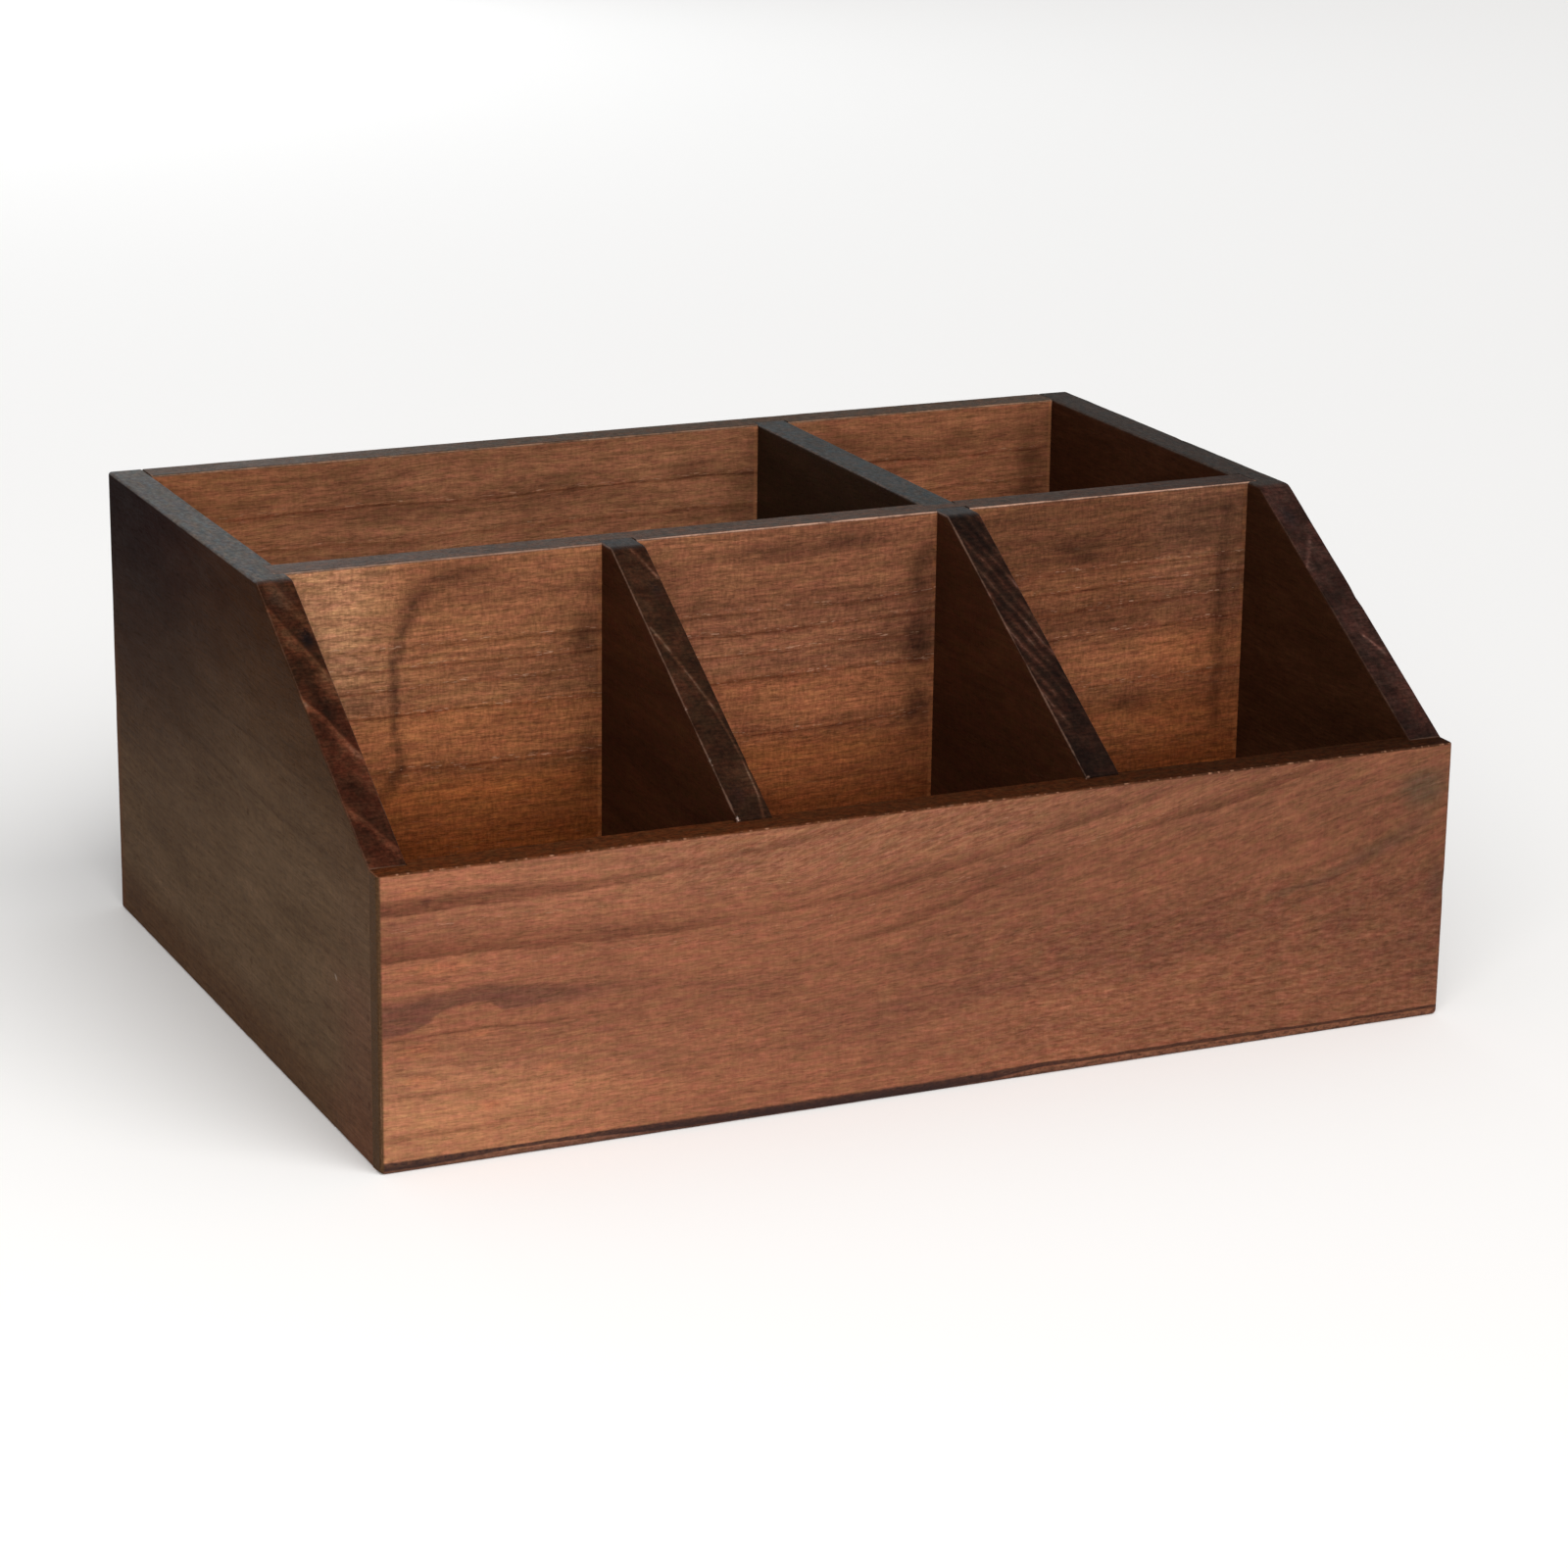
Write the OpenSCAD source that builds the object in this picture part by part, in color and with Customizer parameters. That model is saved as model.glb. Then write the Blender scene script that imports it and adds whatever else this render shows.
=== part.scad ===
// Countertop organizer: an open wooden caddy with a high rear half, a low
// front and sloping sides. A cross panel and three short dividers split it
// into three front compartments and two rear ones. The front panel is
// rabbeted over the ends of the sides, the dividers stand in dados, and the
// bottom lies in a rabbet, flush with the underside. Brads hold the joints.
//
// Millimetres. +X right, +Y back, +Z up. The origin is the centre of the
// footprint, on the surface that the caddy stands on.

/* [Overall] */
// Width over the side panels
width = 305; // [280:1:340]
// Depth from the front face to the back face
depth = 225; // [215:1:260]
// Height of the back, the middle panel and the level part of the sides
height = 129; // [115:1:150]
// Height of the low front panel
front_height = 77.5; // [60:0.5:90]

/* [Boards] */
// Thickness of the walls, the middle panel and the dividers
board = 10; // [9:0.5:12]
// Thickness of the bottom panel
bottom_t = 6; // [4:0.5:8]

/* [Layout] */
// Distance from the front face to the front of the middle panel
middle_y = 96.5; // [85:0.5:110]
// Length of level top in front of the middle panel, before the slope starts
level_run = 6; // [3:0.5:12]
// Left face of the left front divider, from the left side of the caddy
divider_1_x = 97.8; // [85:0.1:112]
// Left face of the right front divider, from the left side of the caddy
divider_2_x = 197; // [185:0.1:212]
// Left face of the rear divider, from the left side of the caddy
rear_divider_x = 196.2; // [185:0.1:212]

/* [Joinery] */
// Depth of the rabbets in the front panel ends and around the bottom
rabbet = 4; // [3:0.5:5]
// Depth of the dados that hold the dividers and the middle panel
dado = 3; // [2:0.5:3.5]

/* [Edges] */
// Radius of the eased outside corners
ease = 1.2; // [0.6:0.1:2]
// Radius where the level top of a side or divider turns into its slope
brow_r = 5; // [2:0.5:8]

/* [Brads] */
// Shank diameter of a brad
brad_d = 1.2; // [1:0.1:1.4]
// Head diameter of a brad
brad_head_d = 2; // [1.8:0.1:2.4]
// Length of the brads driven through the sides
side_brad_l = 25; // [20:1:30]
// Length of the brads driven up through the bottom
bottom_brad_l = 16; // [12:1:20]

/* [Hidden] */

eps = 0.01;
brad_head_t = 0.5;      // head thickness
brad_sink = 0.2;        // head below the surface
brad_gap = 0.05;        // radial clearance round shank and head

x0 = -width / 2;        // left face
x1 = width / 2;         // right face
y0 = -depth / 2;        // front face
y1 = depth / 2;         // back face
lip = board - rabbet;   // wood left in front of the rabbet
y_lip = y0 + lip;       // where the sides butt against the front panel
y_front_in = y0 + board;
y_back_in = y1 - board;
y_mid = y0 + middle_y;  // front face of the middle panel
y_mid_in = y_mid + board;
y_brow = y_mid - level_run;   // start of the slope
fall = atan2(height - front_height, y_brow - y_lip);   // slope angle
slope_k = tan(fall);

// Left faces of the three dividers
d1 = x0 + divider_1_x;
d2 = x0 + divider_2_x;
d3 = x0 + rear_divider_x;

// Brads through each side: [y, z]
side_brad_at = [
    for (k = [0.2, 0.5, 0.8]) [y_lip + rabbet / 2, front_height * k],
    for (k = [0.18, 0.5, 0.82]) [y_mid + board / 2, height * k],
    for (k = [0.18, 0.5, 0.82]) [y1 - board / 2, height * k]
];

// Brads up through the bottom: [x, y]
bottom_brad_at = [
    for (s = [-1, 1], y = [y0 + 50, y0 + 142, y0 + 192])
        [s * (width / 2 - lip - rabbet / 2), y],
    for (x = [x0 + 50, 0, x1 - 50]) [x, y_lip + rabbet / 2],
    for (x = [x0 + 50, 0, x1 - 50]) [x, y1 - lip - rabbet / 2],
    for (x = [x0 + 50, 0, x1 - 50]) [x, y_mid + board / 2],
    for (x = [d1, d2], y = [y0 + 33, y0 + 70]) [x + board / 2, y],
    for (y = [y0 + 140, y0 + 190]) [d3 + board / 2, y]
];

// ---- Brads ---------------------------------------------------------------

// One brad along +Z, its head's face brad_sink above z = 0
module brad(l) {
    translate([0, 0, brad_sink])
        cylinder(d = brad_head_d, h = brad_head_t, $fn = 24);
    translate([0, 0, brad_sink + brad_head_t - eps])
        cylinder(d = brad_d, h = l - brad_head_t + eps, $fn = 24);
}

// The hole that it is driven into, open at z = 0
module brad_bore(l) {
    translate([0, 0, -1])
        cylinder(d = brad_head_d + 2 * brad_gap,
                 h = 1 + brad_sink + brad_head_t, $fn = 24);
    cylinder(d = brad_d + 2 * brad_gap, h = l + brad_sink, $fn = 24);
}

// Puts its child at each brad of one side, s = -1 left, 1 right
module at_side_brads(s) {
    for (p = side_brad_at)
        translate([s * width / 2, p[0], p[1]])
            rotate([0, -s * 90, 0]) children();
}

// Puts its child at each brad of the bottom
module at_bottom_brads() {
    for (p = bottom_brad_at) translate([p[0], p[1], 0]) children();
}

module all_brad_bores() {
    for (s = [-1, 1]) at_side_brads(s) brad_bore(side_brad_l);
    at_bottom_brads() brad_bore(bottom_brad_l);
}

// ---- Shapes ---------------------------------------------------------------

// Outline [y, z] of a side or front divider between y_a and y_b: level top
// behind, a short arc at the brow, then the slope down to the front
function slope_z(y) = front_height + (y - y_lip) * slope_k;
brow_t = brow_r * tan(fall / 2);
function profile(y_a, y_b, z_a) = concat(
    [[y_a, z_a], [y_b, z_a], [y_b, height]],
    [for (i = [0:6])
        let (a = 90 + fall * i / 6)
        [y_brow + brow_t + brow_r * cos(a),
         height - brow_r + brow_r * sin(a)]],
    [[y_a, slope_z(y_a)]]);

// A plate of the given outline, its left face at x
module plate(x, t, outline)
    translate([x, 0, 0])
        rotate([90, 0, 90]) linear_extrude(t) polygon(outline);

// Removes the square edge outside a radius, along +Z, corner at the origin,
// wood on the side of [-dx, -dy]
module edge_cutter(l, dx, dy)
    difference() {
        translate([dx < 0 ? -1 : -ease, dy < 0 ? -1 : -ease, -1])
            cube([ease + 1, ease + 1, l + 2]);
        translate([-dx * ease, -dy * ease, -2])
            cylinder(r = ease, h = l + 4, $fn = 32);
    }

// ---- Walls ------------------------------------------------------------------

module side_shape(s) {
    xi = s < 0 ? x0 : x1 - board;
    difference() {
        plate(xi, board, profile(y_lip, y1, 0));
        // rabbet for the bottom panel
        translate([s < 0 ? x0 + lip : x1 - board - 1, y_lip - 1, -1])
            cube([rabbet + 1, (y1 - lip) - (y_lip - 1), bottom_t + 1]);
        // dado for the middle panel, open at the top
        translate([s < 0 ? x0 + board - dado : x1 - board - 1,
                   y_mid, bottom_t])
            cube([dado + 1, board, height]);
        // eased rear corner
        translate([s * width / 2, y1, 0]) edge_cutter(height, s, 1);
        all_brad_bores();
    }
}

module left_side() color([0.17, 0.11, 0.08]) side_shape(-1);
module right_side() color([0.17, 0.11, 0.08]) side_shape(1);

module front_panel() color([0.56, 0.36, 0.26])
    difference() {
        translate([x0, y0, 0]) cube([width, board, front_height]);
        // rabbets over the ends of the sides
        for (s = [-1, 1])
            translate([s < 0 ? x0 - 1 : x1 - board, y_lip, -1])
                cube([board + 1, rabbet + 1, front_height + 2]);
        // rabbet for the bottom panel
        translate([x0 + lip, y_lip, -1])
            cube([width - 2 * lip, rabbet + 1, bottom_t + 1]);
        // dados for the two front dividers
        for (x = [d1, d2])
            translate([x, y_front_in - dado, bottom_t - 1])
                cube([board, dado + 1, front_height]);
        // eased front corners
        for (s = [-1, 1])
            translate([s * width / 2, y0, 0])
                edge_cutter(front_height, s, -1);
        all_brad_bores();
    }

module back_panel() color([0.42, 0.25, 0.15])
    difference() {
        translate([x0 + board, y_back_in, 0])
            cube([width - 2 * board, board, height]);
        // rabbet for the bottom panel
        translate([x0, y_back_in - 1, -1])
            cube([width, rabbet + 1, bottom_t + 1]);
        // dado for the rear divider
        translate([d3, y_back_in - 1, bottom_t - 1])
            cube([board, dado + 1, height]);
        all_brad_bores();
    }

// ---- Inner boards -----------------------------------------------------------

module middle_panel() color([0.48, 0.30, 0.20])
    difference() {
        translate([x0 + board - dado, y_mid, bottom_t])
            cube([width - 2 * board + 2 * dado, board, height - bottom_t]);
        // dados for the front dividers
        for (x = [d1, d2])
            translate([x, y_mid - 1, bottom_t - 1])
                cube([board, dado + 1, height]);
        // dado for the rear divider
        translate([d3, y_mid_in - dado, bottom_t - 1])
            cube([board, dado + 1, height]);
        all_brad_bores();
    }

// Front divider with its left face at x, from dado to dado
module front_divider(x)
    difference() {
        plate(x, board,
              profile(y_front_in - dado, y_mid + dado, bottom_t));
        all_brad_bores();
    }

module front_divider_left() color([0.14, 0.09, 0.07]) front_divider(d1);
module front_divider_right() color([0.14, 0.09, 0.07]) front_divider(d2);

module rear_divider() color([0.30, 0.20, 0.14])
    difference() {
        translate([d3, y_mid_in - dado, bottom_t])
            cube([board, y_back_in - y_mid_in + 2 * dado,
                  height - bottom_t]);
        all_brad_bores();
    }

module bottom_panel() color([0.38, 0.24, 0.15])
    difference() {
        translate([x0 + lip, y_lip, 0])
            cube([width - 2 * lip, depth - 2 * lip, bottom_t]);
        all_brad_bores();
    }

// ---- Fasteners ----------------------------------------------------------------

module side_brads() color([0.35, 0.33, 0.31])
    for (s = [-1, 1]) at_side_brads(s) brad(side_brad_l);

module bottom_brads() color([0.35, 0.33, 0.31])
    at_bottom_brads() brad(bottom_brad_l);

left_side();
right_side();
front_panel();
back_panel();
middle_panel();
front_divider_left();
front_divider_right();
rear_divider();
bottom_panel();
side_brads();
bottom_brads();
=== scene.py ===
import math

import bmesh
import bpy
from mathutils import Matrix, Vector
from mathutils import noise as mnoise


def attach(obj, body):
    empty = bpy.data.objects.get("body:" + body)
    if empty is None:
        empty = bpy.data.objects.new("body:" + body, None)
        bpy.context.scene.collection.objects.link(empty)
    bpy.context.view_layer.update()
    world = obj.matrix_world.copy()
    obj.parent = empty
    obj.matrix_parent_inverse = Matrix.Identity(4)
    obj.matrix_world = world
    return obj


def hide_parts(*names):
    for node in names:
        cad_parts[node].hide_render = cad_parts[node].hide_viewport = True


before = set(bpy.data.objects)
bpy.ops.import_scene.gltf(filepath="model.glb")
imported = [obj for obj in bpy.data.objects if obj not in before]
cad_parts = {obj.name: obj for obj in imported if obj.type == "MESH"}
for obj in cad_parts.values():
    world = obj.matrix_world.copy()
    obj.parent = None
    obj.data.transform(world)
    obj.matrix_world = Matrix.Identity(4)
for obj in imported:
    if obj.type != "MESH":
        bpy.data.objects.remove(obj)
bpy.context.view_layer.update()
MM = 0.001


# ---- Camera, light and floor ------------------------------------------------

def make_camera():
    data = bpy.data.cameras.new("view")
    data.lens = 101.25
    data.sensor_width = 36.0
    data.sensor_fit = "HORIZONTAL"
    data.clip_start = 0.05
    data.clip_end = 60.0
    data.dof.use_dof = False
    cam = bpy.data.objects.new("view", data)
    right = Vector((0.910248, -0.413858, 0.013001)).normalized()
    ahead = Vector((0.399234, 0.868891, -0.292645)).normalized()
    up = right.cross(ahead).normalized()
    right = ahead.cross(up).normalized()
    m = Matrix.Identity(4)
    for i in range(3):
        m[i][0] = right[i]
        m[i][1] = up[i]
        m[i][2] = -ahead[i]
    m.translation = Vector((-0.484479, -1.069010, 0.410659))
    cam.matrix_world = m
    bpy.context.scene.collection.objects.link(cam)
    bpy.context.scene.camera = cam


def aim(obj, at, frm):
    d = (Vector(at) - Vector(frm)).normalized()
    obj.location = frm
    obj.rotation_euler = d.to_track_quat("-Z", "Y").to_euler()


def make_light():
    world = bpy.data.worlds.new("studio")
    bpy.context.scene.world = world
    world.use_nodes = True
    bg = world.node_tree.nodes["Background"]
    bg.inputs[0].default_value = (1.0, 1.0, 1.0, 1.0)
    bg.inputs[1].default_value = 0.40
    link = bpy.context.scene.collection.objects.link
    sun = bpy.data.lights.new("key", "SUN")
    sun.energy = 2.2
    sun.angle = math.radians(55)
    sun.color = (1.0, 0.985, 0.965)
    key = bpy.data.objects.new("key", sun)
    aim(key, (0, 0, 0), (0.30, -1.0, 1.0))
    link(key)
    # a softbox at the front left, and a low one behind for the sheen on top
    for name, frm, size, watts, col in (
            ("front_box", (-0.72, -1.05, 0.78), 0.7, 7.0, (1.0, 0.96, 0.92)),
            ("rear_box", (0.10, 2.1, 0.62), 1.1, 4.0, (0.93, 0.97, 1.0))):
        a = bpy.data.lights.new(name, "AREA")
        a.shape = "SQUARE"
        a.size = size
        a.energy = watts
        a.color = col
        o = bpy.data.objects.new(name, a)
        aim(o, (-0.05, 0, 0.06), frm)
        link(o)


def make_floor():
    bm = bmesh.new()
    bmesh.ops.create_grid(bm, x_segments=8, y_segments=8, size=9.0)
    me = bpy.data.meshes.new("floor")
    bm.to_mesh(me)
    bm.free()
    floor = bpy.data.objects.new("floor", me)
    floor.location = (0, 4.0, 0)
    bpy.context.scene.collection.objects.link(floor)
    mat = bpy.data.materials.new("pale_floor")
    mat.use_nodes = True
    p = mat.node_tree.nodes["Principled BSDF"]
    p.inputs["Base Color"].default_value = (0.93, 0.93, 0.93, 1)
    p.inputs["Roughness"].default_value = 0.9
    p.inputs["Specular IOR Level"].default_value = 0.1
    me.materials.append(mat)


# ---- Node graph helpers -------------------------------------------------------

class V:
    """A node output that can be used in arithmetic."""

    def __init__(self, g, s):
        self.g = g
        self.s = s

    def __add__(self, o): return self.g.math("ADD", self, o)
    def __radd__(self, o): return self.g.math("ADD", o, self)
    def __sub__(self, o): return self.g.math("SUBTRACT", self, o)
    def __rsub__(self, o): return self.g.math("SUBTRACT", o, self)
    def __mul__(self, o): return self.g.math("MULTIPLY", self, o)
    def __rmul__(self, o): return self.g.math("MULTIPLY", o, self)
    def __truediv__(self, o): return self.g.math("DIVIDE", self, o)
    def __neg__(self): return self.g.math("MULTIPLY", self, -1.0)


class Tree:
    """Node making and arithmetic, shared by materials and node groups."""

    def node(self, kind):
        return self.nt.nodes.new(kind)

    def put(self, value, sock):
        if isinstance(value, V):
            self.nt.links.new(value.s, sock)
        else:
            sock.default_value = value

    def math(self, op, a, b=None, c=None):
        n = self.node("ShaderNodeMath")
        n.operation = op
        for i, v in enumerate((a, b, c)):
            if v is not None:
                self.put(v, n.inputs[i])
        return V(self, n.outputs[0])

    def vmath(self, op, a, b=None):
        n = self.node("ShaderNodeVectorMath")
        n.operation = op
        self.put(a, n.inputs[0])
        if b is not None:
            self.put(b, n.inputs["Scale"] if op == "SCALE" else n.inputs[1])
        out = "Value" if op in ("LENGTH", "DOT_PRODUCT") else "Vector"
        return V(self, n.outputs[out])

    def min(self, a, b): return self.math("MINIMUM", a, b)
    def max(self, a, b): return self.math("MAXIMUM", a, b)
    def abs(self, a): return self.math("ABSOLUTE", a)

    def clamp(self, a, lo=0.0, hi=1.0):
        n = self.node("ShaderNodeClamp")
        self.put(a, n.inputs["Value"])
        n.inputs["Min"].default_value = lo
        n.inputs["Max"].default_value = hi
        return V(self, n.outputs[0])


class Part(Tree):
    """A node group of one vector input, P, and one number out."""

    def __init__(self, name):
        self.nt = bpy.data.node_groups.new(name, "ShaderNodeTree")
        self.nt.interface.new_socket("P", in_out="INPUT",
                                     socket_type="NodeSocketVector")
        self.nt.interface.new_socket("Out", in_out="OUTPUT",
                                     socket_type="NodeSocketFloat")
        self.p = V(self, self.nt.nodes.new("NodeGroupInput").outputs[0])

    def close(self, out):
        go = self.nt.nodes.new("NodeGroupOutput")
        self.nt.links.new(out.s, go.inputs[0])
        return self.nt


def line_tree(pts):
    """Distance to a bent line of pts (u, v, radius), in radii."""
    t = Part("line")
    best = None
    for (u0, v0, r0), (u1, v1, r1) in zip(pts, pts[1:]):
        lu, lv = u1 - u0, v1 - v0
        l2 = lu * lu + lv * lv
        dp = t.vmath("SUBTRACT", t.p, (u0, v0, 0.0))
        h = t.clamp(t.vmath("DOT_PRODUCT", dp, (lu / l2, lv / l2, 0.0)))
        off = t.vmath("SUBTRACT", dp, t.vmath("SCALE", (lu, lv, 0.0), h))
        k = t.vmath("LENGTH", off) / t.math("MULTIPLY_ADD", h, r1 - r0, r0)
        best = k if best is None else t.min(best, k)
    return t.close(best)


class Graph(Tree):
    def __init__(self, name):
        self.mat = bpy.data.materials.new(name)
        self.mat.use_nodes = True
        self.nt = self.mat.node_tree
        self.nt.nodes.clear()
        self.count = 0
        self.pairs = {}
        self.p = self.vmath("SCALE", V(self, self.node(
            "ShaderNodeTexCoord").outputs["Object"]), 1000.0)
        sp = self.node("ShaderNodeSeparateXYZ")
        self.nt.links.new(self.p.s, sp.inputs[0])
        self.x = V(self, sp.outputs[0])
        self.y = V(self, sp.outputs[1])
        self.z = V(self, sp.outputs[2])

    def node(self, kind):
        n = self.nt.nodes.new(kind)
        n.location = (180 * (self.count % 40), -220 * (self.count // 40))
        self.count += 1
        return n

    def step(self, v, a, b):
        """Smooth 0 to 1 as v goes from a to b, or 1 to 0 when a > b."""
        n = self.node("ShaderNodeMapRange")
        n.interpolation_type = "SMOOTHSTEP"
        n.clamp = False
        self.put(v, n.inputs["Value"])
        lo, hi = (a, b) if a < b else (b, a)
        n.inputs["From Min"].default_value = lo
        n.inputs["From Max"].default_value = hi
        if a > b:
            n.inputs["To Min"].default_value = 1.0
            n.inputs["To Max"].default_value = 0.0
        return V(self, n.outputs[0])

    def remap(self, v, a, b, c, d):
        n = self.node("ShaderNodeMapRange")
        n.interpolation_type = "LINEAR"
        n.clamp = False
        self.put(v, n.inputs["Value"])
        n.inputs["From Min"].default_value = a
        n.inputs["From Max"].default_value = b
        n.inputs["To Min"].default_value = c
        n.inputs["To Max"].default_value = d
        return self.clamp(V(self, n.outputs[0]), min(c, d), max(c, d))

    def vec(self, x, y, z):
        n = self.node("ShaderNodeCombineXYZ")
        for i, v in enumerate((x, y, z)):
            if isinstance(v, V) or v:
                self.put(v, n.inputs[i])
        return V(self, n.outputs[0])

    def pair(self, u, v):
        key = (id(u), id(v))
        if key not in self.pairs:
            self.pairs[key] = (self.vec(u, v, 0.0), u, v)
        return self.pairs[key][0]

    def noise(self, vec, scale=1.0, detail=2.0, rough=0.5, warp=0.0):
        n = self.node("ShaderNodeTexNoise")
        n.noise_dimensions = "3D"
        self.put(vec, n.inputs["Vector"])
        n.inputs["Scale"].default_value = scale
        n.inputs["Detail"].default_value = detail
        n.inputs["Roughness"].default_value = rough
        n.inputs["Distortion"].default_value = warp
        return V(self, n.outputs[0])

    def cells(self, vec, scale=1.0, rand=1.0):
        n = self.node("ShaderNodeTexVoronoi")
        n.feature = "F1"
        self.put(vec, n.inputs["Vector"])
        n.inputs["Scale"].default_value = scale
        n.inputs["Randomness"].default_value = rand
        return V(self, n.outputs["Distance"]), V(self, n.outputs["Color"])

    def ramp(self, v, stops, kind="LINEAR"):
        n = self.node("ShaderNodeValToRGB")
        n.color_ramp.interpolation = kind
        el = n.color_ramp.elements
        while len(el) > 1:
            el.remove(el[-1])
        first = True
        for pos, val in stops:
            col = val if isinstance(val, tuple) else (val, val, val)
            if first:
                el[0].position = pos
                e = el[0]
                first = False
            else:
                e = el.new(pos)
            e.color = (col[0], col[1], col[2], 1.0)
        self.put(v, n.inputs[0])
        return V(self, n.outputs[0])

    def grey(self, col):
        n = self.node("ShaderNodeRGBToBW")
        self.put(col, n.inputs[0])
        return V(self, n.outputs[0])

    def mix(self, fac, a, b, kind="MIX"):
        n = self.node("ShaderNodeMix")
        n.data_type = "RGBA"
        n.blend_type = kind
        n.clamp_factor = True
        self.put(fac, n.inputs[0])
        for v, i in ((a, 6), (b, 7)):
            if isinstance(v, V):
                self.nt.links.new(v.s, n.inputs[i])
            else:
                n.inputs[i].default_value = (v[0], v[1], v[2], 1.0)
        return V(self, n.outputs[2])

    def tint(self, col, k):
        """Colour times a scalar field."""
        n = self.node("ShaderNodeVectorMath")
        n.operation = "SCALE"
        self.put(col, n.inputs[0])
        self.put(k, n.inputs["Scale"])
        return V(self, n.outputs[0])

    def blob(self, u, v, cu, cv, ru, rv, turn=0.0, hard=0.25):
        """1 inside an ellipse, fading to 0 at its rim."""
        d = self.vmath("SUBTRACT", self.pair(u, v), (cu, cv, 0.0))
        t = math.radians(turn)
        if turn:
            a = self.vmath("DOT_PRODUCT", d,
                           (math.cos(t) / ru, math.sin(t) / ru, 0.0))
            b = self.vmath("DOT_PRODUCT", d,
                           (-math.sin(t) / rv, math.cos(t) / rv, 0.0))
            d = self.vec(a, b, 0.0)
        else:
            d = self.vmath("MULTIPLY", d, (1.0 / ru, 1.0 / rv, 0.0))
        return self.step(self.vmath("LENGTH", d), 1.0, hard)

    def stroke(self, u, v, pts, soft=0.35):
        """1 along a bent line through pts (u, v, radius), fading to 0 at the radius."""
        n = self.node("ShaderNodeGroup")
        n.node_tree = line_tree(pts)
        self.nt.links.new(self.pair(u, v).s, n.inputs[0])
        return self.step(V(self, n.outputs[0]), 1.0, soft)

    def band(self, u, v, stops, hold=0.3, crisp=0.6, length=305.0):
        """A shade with a crisp lower side and a soft upper one: stops are
        (u, v of the lower side, width, strength)."""
        r = self.ramp(u * (1.0 / length), [
            (max(0.0, a / length), (b / 100.0, w / 20.0, k))
            for a, b, w, k in stops])
        sp = self.node("ShaderNodeSeparateColor")
        self.nt.links.new(r.s, sp.inputs[0])
        e, w, k = (V(self, sp.outputs[i]) for i in range(3))
        d = v - e * 100.0
        t = d / (w * 20.0)
        return self.step(d, crisp * -0.5, crisp * 0.5) \
            * self.step(t, 1.0, hold) * k

    def finish(self, color, rough, bump, bump_mm=0.15, spec=0.5, strength=1.0):
        p = self.node("ShaderNodeBsdfPrincipled")
        out = self.node("ShaderNodeOutputMaterial")
        self.put(color, p.inputs["Base Color"])
        self.put(rough, p.inputs["Roughness"])
        p.inputs["Specular IOR Level"].default_value = spec
        if bump is not None:
            b = self.node("ShaderNodeBump")
            b.inputs["Strength"].default_value = strength
            b.inputs["Distance"].default_value = bump_mm * MM
            self.put(bump, b.inputs["Height"])
            self.nt.links.new(b.outputs[0], p.inputs["Normal"])
        self.nt.links.new(p.outputs[0], out.inputs[0])
        return self.mat


# ---- Sizes of the boards, millimetres -------------------------------------------

X0, X1 = -152.5, 152.5
Y0, Y1 = -112.5, 112.5
H, HF = 129.0, 77.5
T = 10.0
TB = 6.0
LIP = 6.0
DADO = 3.0
YL = Y0 + LIP                 # where the sides butt against the front panel
YM = Y0 + 96.5                # front of the middle panel
YB = YM - 6.0                 # start of the slope
FALL = math.atan2(H - HF, YB - YL)
D1, D2, D3 = X0 + 97.8, X0 + 197.0, X0 + 196.2
BROW = 5.0


def profile(ya, yb, za):
    t = BROW * math.tan(FALL / 2)
    pts = [(ya, za), (yb, za), (yb, H)]
    for i in range(9):
        a = math.pi / 2 + FALL * i / 8
        pts.append((YB + t + BROW * math.cos(a), H - BROW + BROW * math.sin(a)))
    pts.append((ya, HF + (ya - YL) * math.tan(FALL)))
    return pts


def rect(a0, a1, b0, b1):
    return [(a0, b0), (a1, b0), (a1, b1), (a0, b1)]


# ---- Board meshes -----------------------------------------------------------------

def prism(outline, axis, lo, hi):
    """Convex outline in the two other axes, in order, drawn out along axis."""
    bm = bmesh.new()

    def place(p, h):
        if axis == "x":
            return Vector((h, p[0], p[1]))
        if axis == "y":
            return Vector((p[0], h, p[1]))
        return Vector((p[0], p[1], h))

    low = [bm.verts.new(place(p, lo)) for p in outline]
    top = [bm.verts.new(place(p, hi)) for p in outline]
    bm.faces.new(low)
    bm.faces.new(list(reversed(top)))
    n = len(outline)
    for i in range(n):
        j = (i + 1) % n
        bm.faces.new((low[j], low[i], top[i], top[j]))
    bmesh.ops.recalc_face_normals(bm, faces=bm.faces)
    return bm


def sharp_edges(bm, limit=35.0):
    out = []
    for e in bm.edges:
        if len(e.link_faces) == 2:
            a, b = e.link_faces
            if math.degrees(a.normal.angle(b.normal, 0.0)) > limit:
                out.append(e)
    return out


def round_edges(bm, pick, r, segments=3):
    bm.normal_update()
    chosen = []
    for e in sharp_edges(bm):
        m = (e.verts[0].co + e.verts[1].co) / 2
        d = (e.verts[1].co - e.verts[0].co).normalized()
        if pick(m, d):
            chosen.append(e)
    if chosen:
        bmesh.ops.bevel(bm, geom=chosen, offset=r, offset_type="OFFSET",
                        segments=segments, profile=0.5, affect="EDGES",
                        clamp_overlap=True)


def slice_all(bm, axis, places):
    no = {"x": Vector((1, 0, 0)), "y": Vector((0, 1, 0)),
          "z": Vector((0, 0, 1))}[axis]
    for c in places:
        geom = bm.verts[:] + bm.edges[:] + bm.faces[:]
        bmesh.ops.bisect_plane(bm, geom=geom, dist=1e-5,
                               plane_co=no * c, plane_no=no)


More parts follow.
